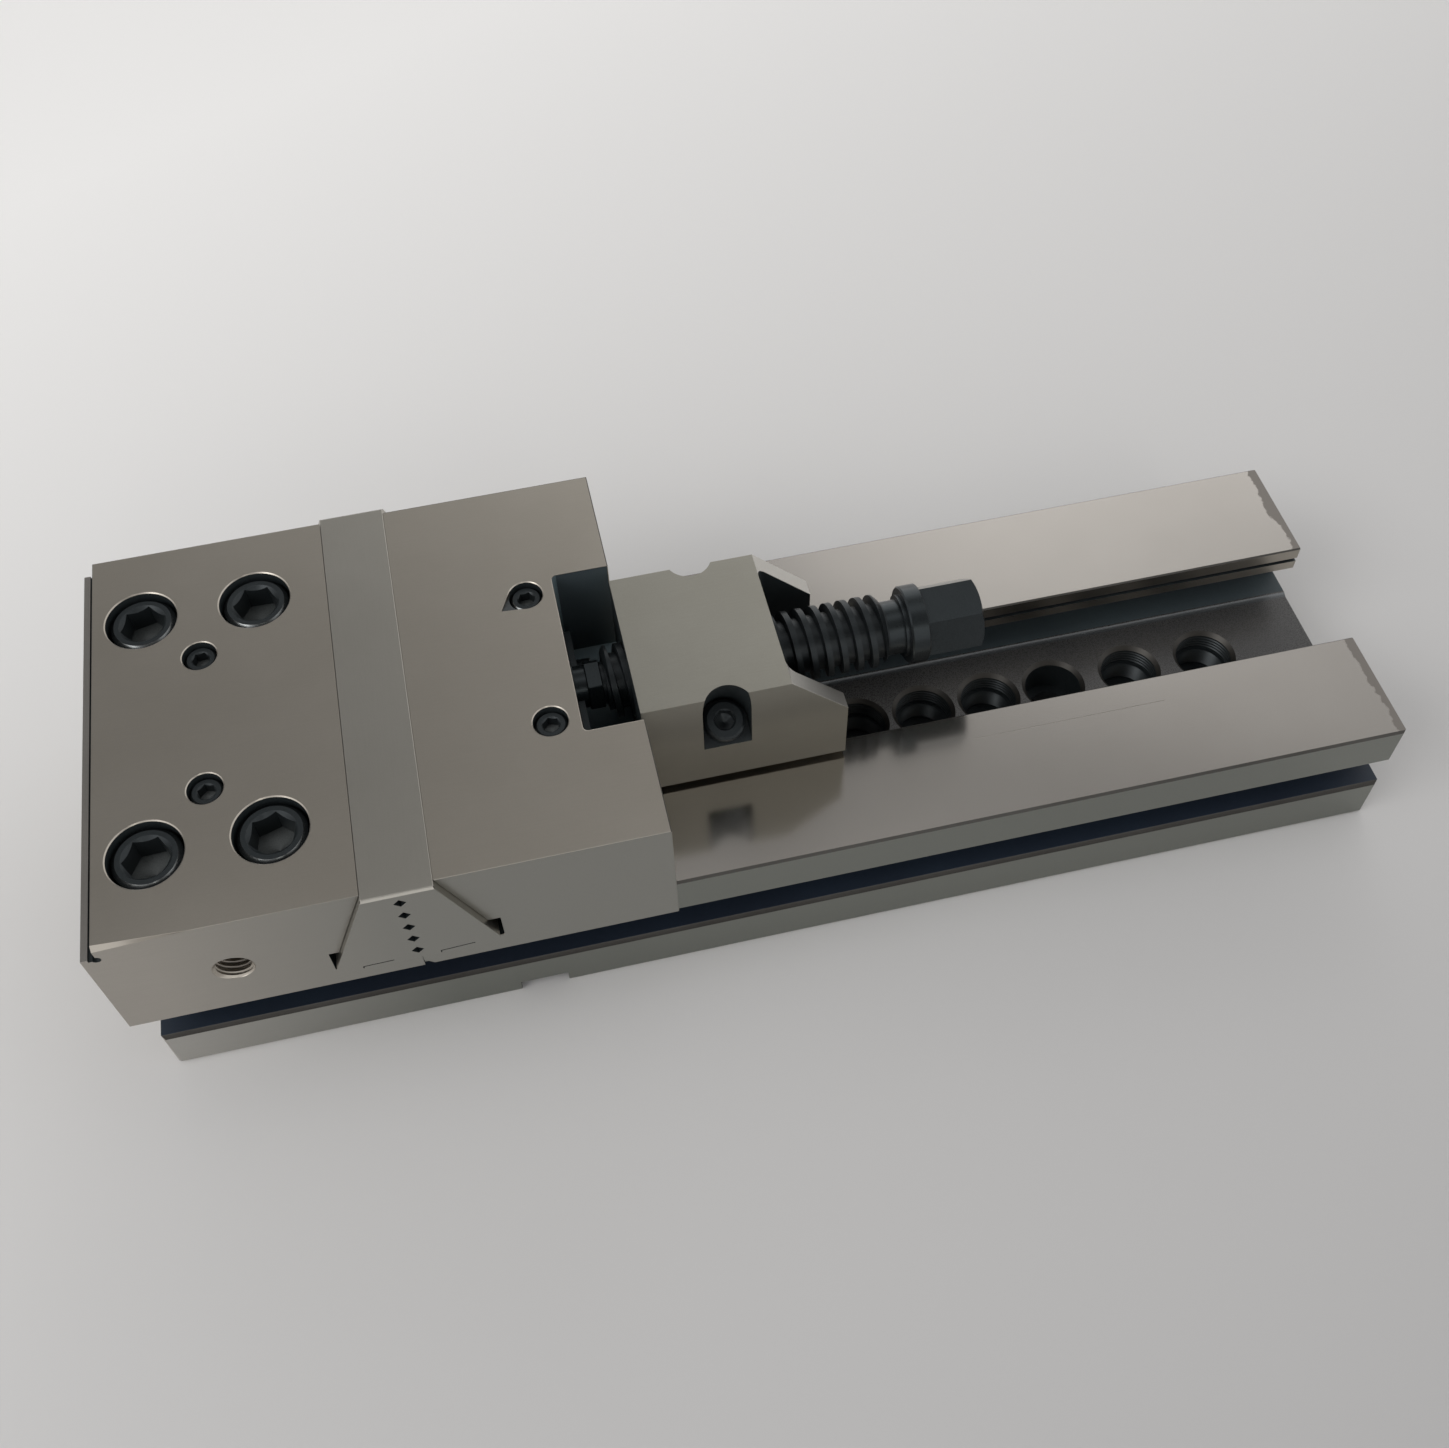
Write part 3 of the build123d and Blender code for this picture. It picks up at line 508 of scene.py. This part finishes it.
def model_bed():
    start, end = -5, BED_LENGTH + 5
    bed = block("bed_body", (0, -BED_SIDE, 0), (BED_LENGTH, BED_SIDE, BED_TOP))
    bevel_edges(bed, 1.0, lambda a, b: same(a[0], b[0]) and same(a[1], b[1]))
    for side in SIDES:
        slice_off(bed, (0, side * BED_SIDE, 49.2), (0, side, 1))
        slice_off(bed, (0, side * BED_SIDE, 1.0), (0, side, -1))
        y0, y1 = sorted((side * GROOVE_FLOOR, side * 70))
        cut(bed, block("groove", (start, y0, GROOVE_LOW), (end, y1, GROOVE_HIGH)))
    strip = block("strip", (start, -STRIP_FOOT, 25.5), (end, STRIP_FOOT, 27.1))
    for vertex in strip.data.vertices:
        if drawn(vertex.co)[2] > 26:
            vertex.co.y *= STRIP_HEAD / STRIP_FOOT
    cut(bed, block("channel", (start, -CHANNEL_SIDE, UNDERCUT_FLOOR), (end, CHANNEL_SIDE, 60)),
        block("undercut", (start, -UNDERCUT_SIDE, UNDERCUT_FLOOR),
              (end, UNDERCUT_SIDE, UNDERCUT_TOP)), strip,
        block("wiper", (start, -WIPER_SIDE, 43.3), (end, WIPER_SIDE, 45.0)),
        block("key_slot", (115, -70, -5), (131, 70, 5.5)))
    bevel_edges(bed, 1.75, lambda a, b: same(abs(a[1]), BED_SIDE) and same(a[1], b[1])
                and same(a[2], GROOVE_LOW) and same(b[2], GROOVE_LOW)
                and abs(a[0] - b[0]) > 300)
    bevel_edges(bed, 0.5, lambda a, b: same(abs(a[1]), CHANNEL_SIDE) and same(a[1], b[1])
                and same(a[2], BED_TOP) and same(b[2], BED_TOP))
    cut(bed, block("scribed_line", (279, -31.5, 49.9), (347, -31.32, 50.5)))
    soften(bed, 0.25)
    for x in HOLE_X:
        cut(bed, floor_hole(x))
    for x in JAW_SCREW_X:
        for side in SIDES:
            cut(bed, bar("tap", (x, side * JAW_SCREW_Y, 51), DOWN, 16, 7.05, 32))
    finish_piece(bed, "bed", rail_steel, "ground_steel", "bed")
    # sides, ends and underside
    paint(bed, side_steel, lambda p, n: abs(p[1]) > 61.4 or p[2] < 17 or abs(n.x) > 0.7)
    paint(bed, rail_side, lambda p, n: abs(p[1]) > 62.3 and 1.2 < p[2] < 48.5)
    # channel and the walls of its holes
    paint(bed, channel_steel, lambda p, n: abs(p[1]) < 31.2 and 0.5 < p[2] < 49.4
          and abs(n.x) < 0.999)
    paint(bed, jaw_steel, lambda p, n: same(abs(p[1]), CHANNEL_SIDE) and 39.6 < p[2] < 49.6)
    paint(bed, black_wall, lambda p, n: abs(p[1]) < 12.5 and 0.5 < p[2] < 24.1)
    # Painted light: the up-facing ledges in the holes get a slightly lighter, glossier black
    # than the walls.
    paint(bed, black_oxide, lambda p, n: abs(p[1]) < 12.5 and 9 < p[2] < 23.9 and n.z > 0.4)
    # broken edges and hole rims, painted dark as painted shade
    paint(bed, edge_shade_steel, lambda p, n: 60.9 < abs(p[1]) < 62.4 and 17.9 < p[2] < 19.4
          and n.z > 0.4)
    paint(bed, edge_shade_steel, lambda p, n: (48 < p[2] < 49.95 and 0.3 < abs(n.y) < 0.9)
          or (24.05 < p[2] < 25.45 and abs(p[1]) < 12.5 and n.z > 0.4))
    # undercut (painted shade under the lip), wiper groove, sloped strips (painted light) and
    # clamping grooves
    paint(bed, shaded_slot_wall, lambda p, n: 26.1 < p[2] < 39.8 and 21.3 < abs(p[1]) < 31.2)
    paint(bed, black_wall, lambda p, n: 43.2 < p[2] < 45.1 and 21.05 < abs(p[1]) < 23)
    # Painted light: the sloped strips beside the floor are painted lighter.
    paint(bed, lit_strip_steel, lambda p, n: 25.55 < p[2] < 26.28 and 18.8 < abs(p[1]) < 20.4)
    paint(bed, groove_black, lambda p, n: 50.3 < abs(p[1]) < 62.3 and 19.3 < p[2] < 33.7)


# ---- fixed and movable jaw ----


def lock_bore(x, y):
    """Room for one lock screw: a broken rim, its head and its shank."""
    return turned("lock_bore", (x, y, JAW_HOLE_TOP), DOWN,
                  [(0, 6.8), (1.3, 5.5), (8.8, 5.5), (8.8, 3.05), (19, 3.05)])


def pin_bore(name, x, side, length):
    """Room for one of the pins behind the plates."""
    return bar(name, (x, side * LOCK_Y, PIN_Z), ALONG, length, PIN_BORE, 32)


def side_face(width):
    """Tells the flat faces at the front and back of a piece that wide each way."""
    return lambda p, n: abs(p[1]) > width - 0.1 and abs(n.y) > 0.9


def model_fixed_jaw():
    jaw = block("fixed_jaw_body", (0, -JAW_SIDE, BED_TOP), (PARTING, JAW_SIDE, JAW_TOP))
    seat = block("seat", (67.2, -PAST, 60), (95, PAST, 104))
    slice_off(seat, (67.2, 0, 69), (-FLANK[0], 0, FLANK[1]))
    cut(jaw, block("step", (-5, -PAST, STEP_Z), (STEP_X, PAST, 105)),
        bar("step_relief", (STEP_X, -PAST, 92.1), ACROSS, 2 * PAST, 1.3, 24),
        block("key_pocket", (12, -20.98, 45), (66, 20.98, 55.02)))
    # tapered edge at the front left corner
    corner = Vector((STEP_X, 1.5 - JAW_SIDE, JAW_TOP))
    edge_down = Vector((STEP_X, -JAW_SIDE, JAW_TOP - 1.5))
    edge_along = Vector((34, -JAW_SIDE, JAW_TOP))
    slope = (edge_down - corner).cross(edge_along - corner)
    if slope.y > 0:
        slope.negate()
    slice_off(jaw, corner, slope)
    soften(jaw, 0.3)
    cut(jaw, seat, block("relief", (63.9, -PAST, 58.7), (67.4, PAST, 68.6)),
        block("step_groove", (2.05, -PAST, 91.7), (4.3, PAST, 93.0)))
    for side in SIDES:
        for x in JAW_SCREW_X:
            cut(jaw, turned("screw_bore", (x, side * JAW_SCREW_Y, JAW_HOLE_TOP), DOWN,
                            [(0, 12.75), (1.35, 11.4), (16.6, 11.4), (16.6, 7.4), (52, 7.4)]))
        cut(jaw, lock_bore(LOCK_X["fixed"], side * LOCK_Y), pin_bore("pin_bore", 32, side, 60),
            turned("side_hole", (SIDE_HOLE_X, side * 73.5, SIDE_HOLE_Z), (0, -side, 0),
                   [(0, 6.6), (1.2, 6.1), (1.9, 5.2), (18, 5.2), (20.5, 0.4)]))
        thread = helix("side_thread", 1.75, 9, 4.9, 6.0, 1.6, 0.2, 32)
        cut(jaw, stand(thread, (SIDE_HOLE_X, side * 74.5, SIDE_HOLE_Z), (0, -side, 0)))
    for x in (26, 52):
        cut(jaw, bar("key_tap", (x, 0, BED_TOP), UP, 15, 3.05, 24))
    finish_piece(jaw, "bed", jaw_steel, "ground_steel", "fixed_jaw")
    paint(jaw, black_wall, lambda p, n: 5.2 < p[0] and abs(p[1]) < 72.1 and 50.5 < p[2] < 97.2
          and not (abs(p[1]) > 52 and hypot(p[0] - SIDE_HOLE_X, p[2] - SIDE_HOLE_Z) < 9))
    paint(jaw, black_wall, lambda p, n: 2.0 < p[0] < 5.9 and 90 < p[2] < 93.5
          and (p[2] < 92.5 or p[0] > 2.2))
    paint(jaw, side_steel, side_face(JAW_SIDE))
    paint(jaw, dull_steel, lambda p, n: p[0] < 2.1 and 92.3 < p[2] < 92.7 and n.z > 0.3)
    paint_edge_shade(jaw)


def paint_edge_shade(piece):
    """Painted shade: dark lines on the broken edges at the sides and back of a ground top."""
    paint(piece, edge_shade_steel, lambda p, n: 97.5 < p[2] < 97.99 and 0.2 < n.z < 0.97
          and (n.y > 0.3 or abs(n.x) > 0.3) and (abs(p[1]) > 70 or p[0] < 5.5 or p[0] > 168.5))


def model_movable_jaw():
    jaw = block("movable_jaw_body", (PARTING, -JAW_SIDE, 50.05), (JAW_END, JAW_SIDE, JAW_TOP))
    seat_end = 111.637
    seat = block("seat", (84, -PAST, 60), (seat_end, PAST, 104))
    slice_off(seat, (seat_end, 0, 69), (FLANK[0], 0, FLANK[1]))
    slot = block("rear_slot", (SLOT_START, -SLOT_SIDE, SLOT_FLOOR), (180, SLOT_SIDE, 105))
    bevel_edges(slot, 1.5, lambda a, b: a[0] < 152 and b[0] < 152 and same(a[1], b[1]), 4)
    cut(jaw, seat, block("relief", (111.6, -PAST, 58.7), (115.3, PAST, 69)),
        block("shoe_pocket", (99.98, -20.98, 45), (158.02, 20.98, 54.02)), slot)
    # broken lower edge towards the fixed jaw
    slice_off(jaw, (PARTING, 0, 53.0), (-1, 0, -1))
    soften(jaw, 0.3)
    radius, depth = 9.05, 19.3
    nose = [(0, radius + 1.0), (1.0, radius), (depth, radius)]
    nose += [(depth + radius * sin(a), radius * cos(a)) for a in (0.4, 0.8, 1.2, 1.5)]
    cut(jaw, turned("nose_bore", (152.3, 0, AXIS_Z), TO_JAW, nose))
    for side in SIDES:
        cut(jaw, lock_bore(LOCK_X["movable"], side * LOCK_Y),
            pin_bore("pin_bore", 85, side, 62),
            bar("retainer_tap", (152, side * 16, 65), TO_JAW, 9.5, 2.55, 24))
        for x in (122, 138):
            cut(jaw, bar("shoe_tap", (x, side * 12, BED_TOP), UP, 15.5, 4.05, 24))
    cut(jaw, relief_tail())
    finish_piece(jaw, "jaw", jaw_steel, "ground_steel", "movable_jaw")
    paint(jaw, black_wall, lambda p, n: 93.5 < p[0] < 168.9 and abs(p[1]) < 72.1
          and 50.5 < p[2] < 97.2)
    paint(jaw, side_steel, side_face(JAW_SIDE))
    paint(jaw, slot_wall, lambda p, n: 150.4 < p[0] < 169.0 and abs(p[1]) < 31.7
          and 57.8 < p[2] < 97.6)
    # Painted shade: the slot's back side wall in the darker copy of its finish.
    paint(jaw, shaded_slot_wall, lambda p, n: 152 < p[0] < 169.0 and p[1] > 31.3 and n.y < -0.9
          and 57.8 < p[2] < 97.6)
    paint_edge_shade(jaw)


def relief_tail():
    """Pointed relief that runs out of one lock screw's bore."""
    tip, centre, radius = (132.9, 20.5), (LOCK_X["movable"], LOCK_Y), 5.6
    along_x, along_y = centre[0] - tip[0], centre[1] - tip[1]
    reach = hypot(along_x, along_y)
    middle, spread = atan2(along_y, along_x), asin(radius / reach)
    tail = block("tail", (130, 15, 96.3), (143, 31, 99.5))
    for side in SIDES:
        line = middle + side * spread
        slice_off(tail, (*tip, 98), (-side * sin(line), side * cos(line), 0))
    chord = reach * cos(spread) ** 2 + 0.6
    slice_off(tail, (tip[0] + chord * cos(middle), tip[1] + chord * sin(middle), 98),
              (cos(middle), sin(middle), 0))
    slice_off(tail, (*tip, 97.6), (-0.25 * cos(middle), -0.25 * sin(middle), -1))
    return tail


def model_plate():
    plate = block("fixed_plate_body", (PLATE_START, -PLATE_SIDE, PLATE_FOOT),
                  (PARTING, PLATE_SIDE, JAW_TOP))
    slice_off(plate, (PLATE_START, 0, 63), (-35.0, 0, 14.14))
    bevel_edges(plate, 1.5, lambda a, b: same(a[0], PLATE_START) and same(b[0], PLATE_START)
                and same(a[2], PLATE_FOOT) and same(b[2], PLATE_FOOT))
    bevel_edges(plate, 0.8, lambda a, b: same(a[1], b[1]) and same(a[2], JAW_TOP)
                and same(b[2], JAW_TOP))
    bevel_edges(plate, 0.2, lambda a, b: not same(a[0], PARTING) or not same(b[0], PARTING), 2)
    for row in range(5):
        z = 93.4 - 7.15 * row
        cut(plate, bar("v_groove", (PARTING, -PAST, z), ACROSS, 2 * PAST, 1.9, 4))
    for side in SIDES:
        cut(plate, pin_bore("pin_hole", 60, side, 24.5))
    return plate


def mirrored(piece, name):
    """The same piece on the other side of the parting face."""
    twin = copy_of(piece, name)
    parting = at(PARTING, 0, 0).x
    twin.scale.x = -1
    twin.location.x = 2 * parting
    settle(twin)
    bpy.ops.object.mode_set(mode="EDIT")
    bpy.ops.mesh.select_all(action="SELECT")
    bpy.ops.mesh.normals_make_consistent(inside=False)
    deselect()
    return twin


def scribe_ends(plate, first, last, z_first, z_last):
    """Thin seam line on both ends of a plate, with a short hook at its left end."""
    rise = (z_last - z_first) / (last - first)
    for side in SIDES:
        y0, y1 = sorted((side * 74.5, side * 76))
        line = block("seam", (first, y0, z_first), (last, y1, z_first + 0.4))
        for vertex in line.data.vertices:
            vertex.co.z += (drawn(vertex.co)[0] - first) * rise * MM
        cut(plate, line, block("hook", (first, y0, z_first - 0.8),
                               (first + 0.35, y1, z_first + 0.4)))


def model_plates():
    fixed = model_plate()
    movable = mirrored(fixed, "movable_plate_body")
    scribe_ends(fixed, 72.4, 81.8, 61.2, 61.4)
    scribe_ends(movable, 95.8, 106.4, 61.2, 61.9)
    finish_piece(fixed, "bed", plate_steel, "hard_steel", "fixed_jaw_plate")
    finish_piece(movable, "jaw", plate_steel, "hard_steel", "movable_jaw_plate")
    for plate in (fixed, movable):
        # Painted shadow: the seam lines on the plate ends are painted black.
        paint(plate, black_wall, lambda p, n: (87.4 < p[0] < 91.6 and 60 < p[2] < 96
              and 0.6 < abs(n.z) < 0.8) or (60.3 < p[2] < 62.4 and 74.45 < abs(p[1]) < 74.99))
        paint(plate, side_steel, side_face(PLATE_SIDE))
        paint_edge_shade(plate)


# ---- screws ----


def model_screw(name, tip, seat, top, shank, head, flats):
    """Socket head screw on the z axis of the drawing, from its tip to the top of its head."""
    length = top - tip
    under = seat - tip
    rim = head * 0.11
    screw = turned(name, (BED_MIDDLE, 0, tip), UP,
                   [(0, shank * 0.85), (shank * 0.15, shank), (under, shank),
                    (under, head - 0.3), (under + 0.3, head), (length - rim, head),
                    (length, head - rim * 1.1)])
    corner = flats / 2 / cos(pi / 6)
    deep = min(0.62 * (top - seat), flats * 0.75)
    key = bar("key", (BED_MIDDLE, 0, top - deep), UP, deep + 1, corner, 6)
    wide, narrow = corner * 1.035, flats * 0.4925
    lead = turned("lead", (BED_MIDDLE, 0, top + 0.5), DOWN,
                  [(0, wide + 0.5), (0.5 + wide - narrow, narrow)], 48)
    drill = turned("drill", (BED_MIDDLE, 0, top - deep + 0.3), DOWN,
                   [(0, flats * 0.47), (0.3, flats * 0.47), (0.3 + flats * 0.16, 0.05)], 32)
    cut(screw, key, lead, drill)
    return screw


def place_screw(screw, name, x, y, turn):
    twin = copy_of(screw, name)
    twin.rotation_euler = (0, 0, radians(turn))
    twin.location = at(x, y, 0)
    return settle(twin)


def model_upright_screws():
    large = model_screw("large", 37.4, 82.4, 96.4, 7.0, 10.4, 12.7)
    small = model_screw("small", 82.2, 90.2, 96.2, 3.0, 4.9, 5.0)
    near_x, far_x = JAW_SCREW_X
    socket_turns = {(near_x, -1): 32, (far_x, -1): 48, (near_x, 1): 44, (far_x, 1): 27}
    for (x, side), turn in socket_turns.items():
        name = f"jaw_screw_{SIDE_NAMES[side]}_{round(x)}"
        screw = place_screw(large, name, x, side * JAW_SCREW_Y, turn)
        finish_piece(screw, "bed", black_oxide, "black_steel", "fixed_jaw_screws")
        # Painted light: the socket floor, facing up, in a lighter black.
        paint(screw, lit_socket_black, lambda p, n: n.z > 0.5 and 84 < p[2] < 89)
        paint(screw, rim_black, lambda p, n: 0.4 < n.z < 0.9 and p[2] > 95.2
              and hypot(p[0] - x, p[1] - side * JAW_SCREW_Y) > 9)
    for part, body in (("fixed", "bed"), ("movable", "jaw")):
        x = LOCK_X[part]
        for side, turn in ((-1, 12), (1, 36)):
            name = f"{part}_lock_{SIDE_NAMES[side]}"
            screw = place_screw(small, name, x, side * LOCK_Y, turn)
            finish_piece(screw, body, black_oxide, "black_steel", f"{part}_lock_screws")
            # Painted light: the socket floor, facing up, in a lighter black.
            paint(screw, lit_socket_black, lambda p, n: n.z > 0.5 and 90 < p[2] < 93.5)
            paint(screw, rim_black, lambda p, n: 0.4 < n.z < 0.9 and p[2] > 95.5
                  and hypot(p[0] - x, p[1] - side * LOCK_Y) > 4.2)
    for screw in (large, small):
        bpy.data.objects.remove(screw, do_unlink=True)


# ---- nut block and its clamping screws ----

NUT_START, NUT_END = 168.6, 235.2
NUT_FOOT, NUT_TOP = 52.3, 95.3
NUT_SIDE = 27.3
TAIL_X, TAIL_SLOT_SIDE = 216.5, 21.2
TILT = radians(25)
POCKET_X = 195.65
POCKET_RADIUS = 7.85


def pocket_seat(side):
    """Where a clamping screw's pocket has its floor, and the way it opens."""
    up = (0, side * sin(TILT), cos(TILT))
    return (POCKET_X, side * 23.2 - 6 * up[1], 77.5 - 6 * up[2]), up


def model_nut_block():
    nut = block("nut_block_body", (NUT_START, -NUT_SIDE, NUT_FOOT),
                (NUT_END, NUT_SIDE, NUT_TOP))
    cut(nut, block("toe", (160, -40, 50), (169.5, 40, 58.4)))
    slice_off(nut, (TAIL_X, 0, NUT_TOP), (1, 0, 1))
    slot = block("tail_slot", (TAIL_X, -TAIL_SLOT_SIDE, 45), (250, TAIL_SLOT_SIDE, 110))
    bevel_edges(slot, 3.0, lambda a, b: a[0] < 217 and b[0] < 217 and same(a[1], b[1]), 6)
    cut(nut, slot)
    soften(nut, 0.25)
    cut(nut, turned("nut_bore", (NUT_START - 1, 0, AXIS_Z), ALONG,
                    [(0, 14.05), (2.0, 12.05), (47.9, 12.05), (49.9, 14.05)]))
    for side in SIDES:
        seat, up = pocket_seat(side)
        opening = block("opening", (BED_MIDDLE - POCKET_RADIUS, 0, 0),
                        (BED_MIDDLE + POCKET_RADIUS, 60, 60))
        if side < 0:
            opening.rotation_euler.z = pi
            settle(opening)
        opening.rotation_euler.x = -side * TILT
        opening.location = at(*seat)
        cut(nut, bar("pocket", seat, up, 60, POCKET_RADIUS), settle(opening),
            bar("shank_hole", seat, tuple(-part for part in up), 60, 4.5, 32))
    finish_piece(nut, "nut", nut_steel, "ground_steel", "nut_block")
    paint(nut, black_wall, lambda p, n: n.x < -0.99 or (169.9 < p[0] < 234.8
          and abs(p[1]) < 26.9 and 52.7 < p[2] < 94.9))
    # Painted light: the up-facing slopes of the wings get the lighter steel.
    paint(nut, lit_slope_steel, lambda p, n: n.x > 0.6 and n.z > 0.6 and abs(p[1]) > 20)


def model_clamp_screws():
    screw = model_screw("clamp", -26.5, 0, 6, 4.0, 6.5, 6.0)
    for side in SIDES:
        seat, up = pocket_seat(side)
        twin = copy_of(screw, f"clamp_screw_{SIDE_NAMES[side]}")
        stand(twin, seat, up, radians(18))
        finish_piece(twin, "nut", black_oxide, "black_steel", "nut_foot_screws")
    bpy.data.objects.remove(screw, do_unlink=True)


# ---- spindle ----

NOSE_X = 133.05
COLLAR_X = 261.0
HEX_END = 285.8
THREAD = (161.0, 254.0)
FLATS_TURN = 42
CREST_X = 156.318
THREAD_PITCH = 5.0


def model_spindle():
    def d(x):
        return x - NOSE_X

    spindle = turned("spindle_body", (NOSE_X, 0, AXIS_Z), ALONG, [
        (0, 8.2), (0.8, 9.0), (d(151.25), 9.0), (d(151.25), 7.0),
        (d(161.2), 7.0), (d(161.2), 9.2), (d(254.0), 9.2), (d(254.4), 9.0),
        (d(COLLAR_X) - 1.3, 9.0), (d(COLLAR_X) - 1.3, 10.4),
        (d(COLLAR_X), 10.4), (d(COLLAR_X), 12.5), (d(COLLAR_X) + 0.5, 13.0),
        (d(COLLAR_X) + 5.7, 13.0), (d(COLLAR_X) + 6.2, 12.5)])
    ridge = helix("ridge", THREAD_PITCH, 21, 8.8, 12.0, 2.7, 1.9, 96)
    stand(ridge, (CREST_X, 0, AXIS_Z), ALONG)
    length = THREAD[1] - THREAD[0]
    blank = turned("blank", (THREAD[0], 0, AXIS_Z), ALONG,
                   [(0, 10.2), (1.6, 12.4), (length - 2.6, 12.4), (length - 0.4, 10.2)])
    boolean(ridge, blank, "INTERSECT")
    weld(spindle, ridge)
    collar = bar("front_collar", (155.0, 0, AXIS_Z), ALONG, 5.0, 8.66, 6, radians(FLATS_TURN))
    bevel_edges(collar, 0.3, lambda a, b: True)
    weld(spindle, collar)
    corner = 11.0 / cos(pi / 6)
    start = COLLAR_X + 5.7
    head = bar("hexagon", (start, 0, AXIS_Z), ALONG, HEX_END - start, corner, 6,
               radians(FLATS_TURN))
    envelope = turned("envelope", (start - 1, 0, AXIS_Z), ALONG,
                      [(0, 12.7), (HEX_END - start, 12.7), (HEX_END - start + 1, 11.0)])
    boolean(head, envelope, "INTERSECT")
    weld(spindle, head)
    cut(spindle, turned("centre", (HEX_END + 0.5, 0, AXIS_Z), TO_JAW,
                        [(0, 3.0), (2.0, 1.2), (5.0, 1.2)], 24))
    finish_piece(spindle, "spindle", black_spindle, "black_steel", "spindle")
    paint(spindle, thread_black, lambda p, n: 160.5 < p[0] < 254.5)


# ---- build the pieces ----

bare_finishes = {"black_steel": black_oxide, "ground_steel": jaw_steel,
                 "hard_steel": plate_steel, "bare_steel": bare_steel}
slots = {row["node"]: row["material_slot"] for row in frame["record"]["subparts"]}
for node_name, node in frame["nodes"].items():
    node.data.materials.clear()
    node.data.materials.append(bare_finishes[slots[node_name]])

model_bed()
model_fixed_jaw()
model_movable_jaw()
model_plates()
model_upright_screws()
model_nut_block()
model_clamp_screws()
model_spindle()


# ---- camera, light and floor ----

CAMERA_PLACE = (140.011, -309.0, 487.8)
FOCAL_PIXELS, PICTURE_PIXELS = 1580.362, 1449.0
SENSOR = 36.0


def set_camera():
    camera_data = bpy.data.cameras.new("camera")
    camera = bpy.data.objects.new("camera", camera_data)
    bpy.context.collection.objects.link(camera)
    right = Vector((0.97515, -0.22046, -0.02167))
    up = Vector((0.19241, 0.79444, 0.57605))
    back = Vector((-0.10978, -0.56591, 0.81713))
    turn = Matrix((right, up, back)).transposed().to_4x4()
    camera.matrix_world = Matrix.Translation(at(*CAMERA_PLACE)) @ turn
    camera_data.sensor_fit = "HORIZONTAL"
    camera_data.sensor_width = SENSOR
    camera_data.lens = SENSOR * FOCAL_PIXELS / PICTURE_PIXELS
    camera_data.clip_start = 0.01
    bpy.context.scene.camera = camera


def soft_lamp(name, place, target, size, power):
    data = bpy.data.lights.new(name, "AREA")
    data.shape = "RECTANGLE"
    data.size, data.size_y = size
    data.energy = power
    lamp = bpy.data.objects.new(name, data)
    bpy.context.collection.objects.link(lamp)
    lamp.location = place
    aim = Vector(target) - Vector(place)
    lamp.rotation_euler = aim.to_track_quat("-Z", "Y").to_euler()


def set_stage():
    deselect()
    bpy.ops.mesh.primitive_plane_add(size=8, location=(0, 0, -0.0002))
    floor = bpy.context.object
    floor.name = "floor"
    material, nodes, links = new_material("floor_paper")
    shader = nodes["Principled BSDF"]
    shader.inputs["Roughness"].default_value = 0.85
    # Painted light: the floor is painted pale at the back left and darker towards the front
    # right, as light falling off across it.
    place = own_place(nodes, links)
    across = times_plus(nodes, links, place["X"], -0.45, place["Y"])
    tone = ramp(nodes, links, span(nodes, links, across, -0.35, 0.55),
                ((0.0, (0.49, 0.482, 0.477)), (1.0, (0.97, 0.955, 0.935))))
    links.new(tone, shader.inputs["Base Color"])
    floor.data.materials.append(material)


def tint_patch(nodes, links, direction, tone, centre, tight, wide, tint):
    """Tints the room round one direction: full inside one angle, none past the other."""
    near = lean(nodes, links, direction, Vector(centre).normalized())
    inside = span(nodes, links, near, cos(radians(wide)), cos(radians(tight)), smooth=True)
    return mix(nodes, links, "MIX", inside, tone, tint)


def set_studio():
    """Pale room, dimmer high up behind, with a dim patch and a small bright one in front."""
    world = bpy.data.worlds.new("studio")
    world.use_nodes = True
    bpy.context.scene.world = world
    nodes, links = world.node_tree.nodes, world.node_tree.links
    sky = nodes["Background"]
    direction = nodes.new("ShaderNodeTexCoord").outputs["Generated"]
    split = nodes.new("ShaderNodeSeparateXYZ")
    links.new(direction, split.inputs["Vector"])
    height = lean(nodes, links, direction, (-0.2, -0.2, 1.0))
    wall = ramp(nodes, links, height,
                ((0.40, 0.95), (1.0, 0.6), (0.44, 0.78), (0.50, 0.50), (0.54, 0.40),
                 (0.59, 0.38), (0.612, 0.285), (0.63, 0.21), (0.65, 0.15), (0.68, 0.125),
                 (0.72, 0.155), (0.80, 0.36)))
    for start, end, low, high in ((-0.2, 0.14, 0.8, 1.276), (0.14, 0.2, 1.0, 1.52),
                                  (0.3, 0.5, 1.0, 0.53)):
        sideways = span(nodes, links, split.outputs["X"], start, end, low, high)
        wall = mix(nodes, links, "MULTIPLY", 1.0, wall, sideways)
    behind = span(nodes, links, split.outputs["Y"], 0.06, 0.32, smooth=True)
    tone = mix(nodes, links, "MIX", behind, (0.96, 0.96, 0.97), wall)
    for centre, tight, wide, tint in (((0.12, -0.52, 0.85), 14, 35, (0.16, 0.16, 0.16)),
                                      ((0.11, -0.82, 0.57), 2.5, 9, (2.8, 2.8, 2.7))):
        tone = tint_patch(nodes, links, direction, tone, centre, tight, wide, tint)
    links.new(tone, sky.inputs["Color"])
    sky.inputs["Strength"].default_value = 1.0


set_camera()
set_stage()
set_studio()
soft_lamp("key", (-1.5, -0.6, 1.5), (0, 0, 0), (1.2, 0.9), 10)
bpy.context.scene.view_settings.view_transform = "Standard"
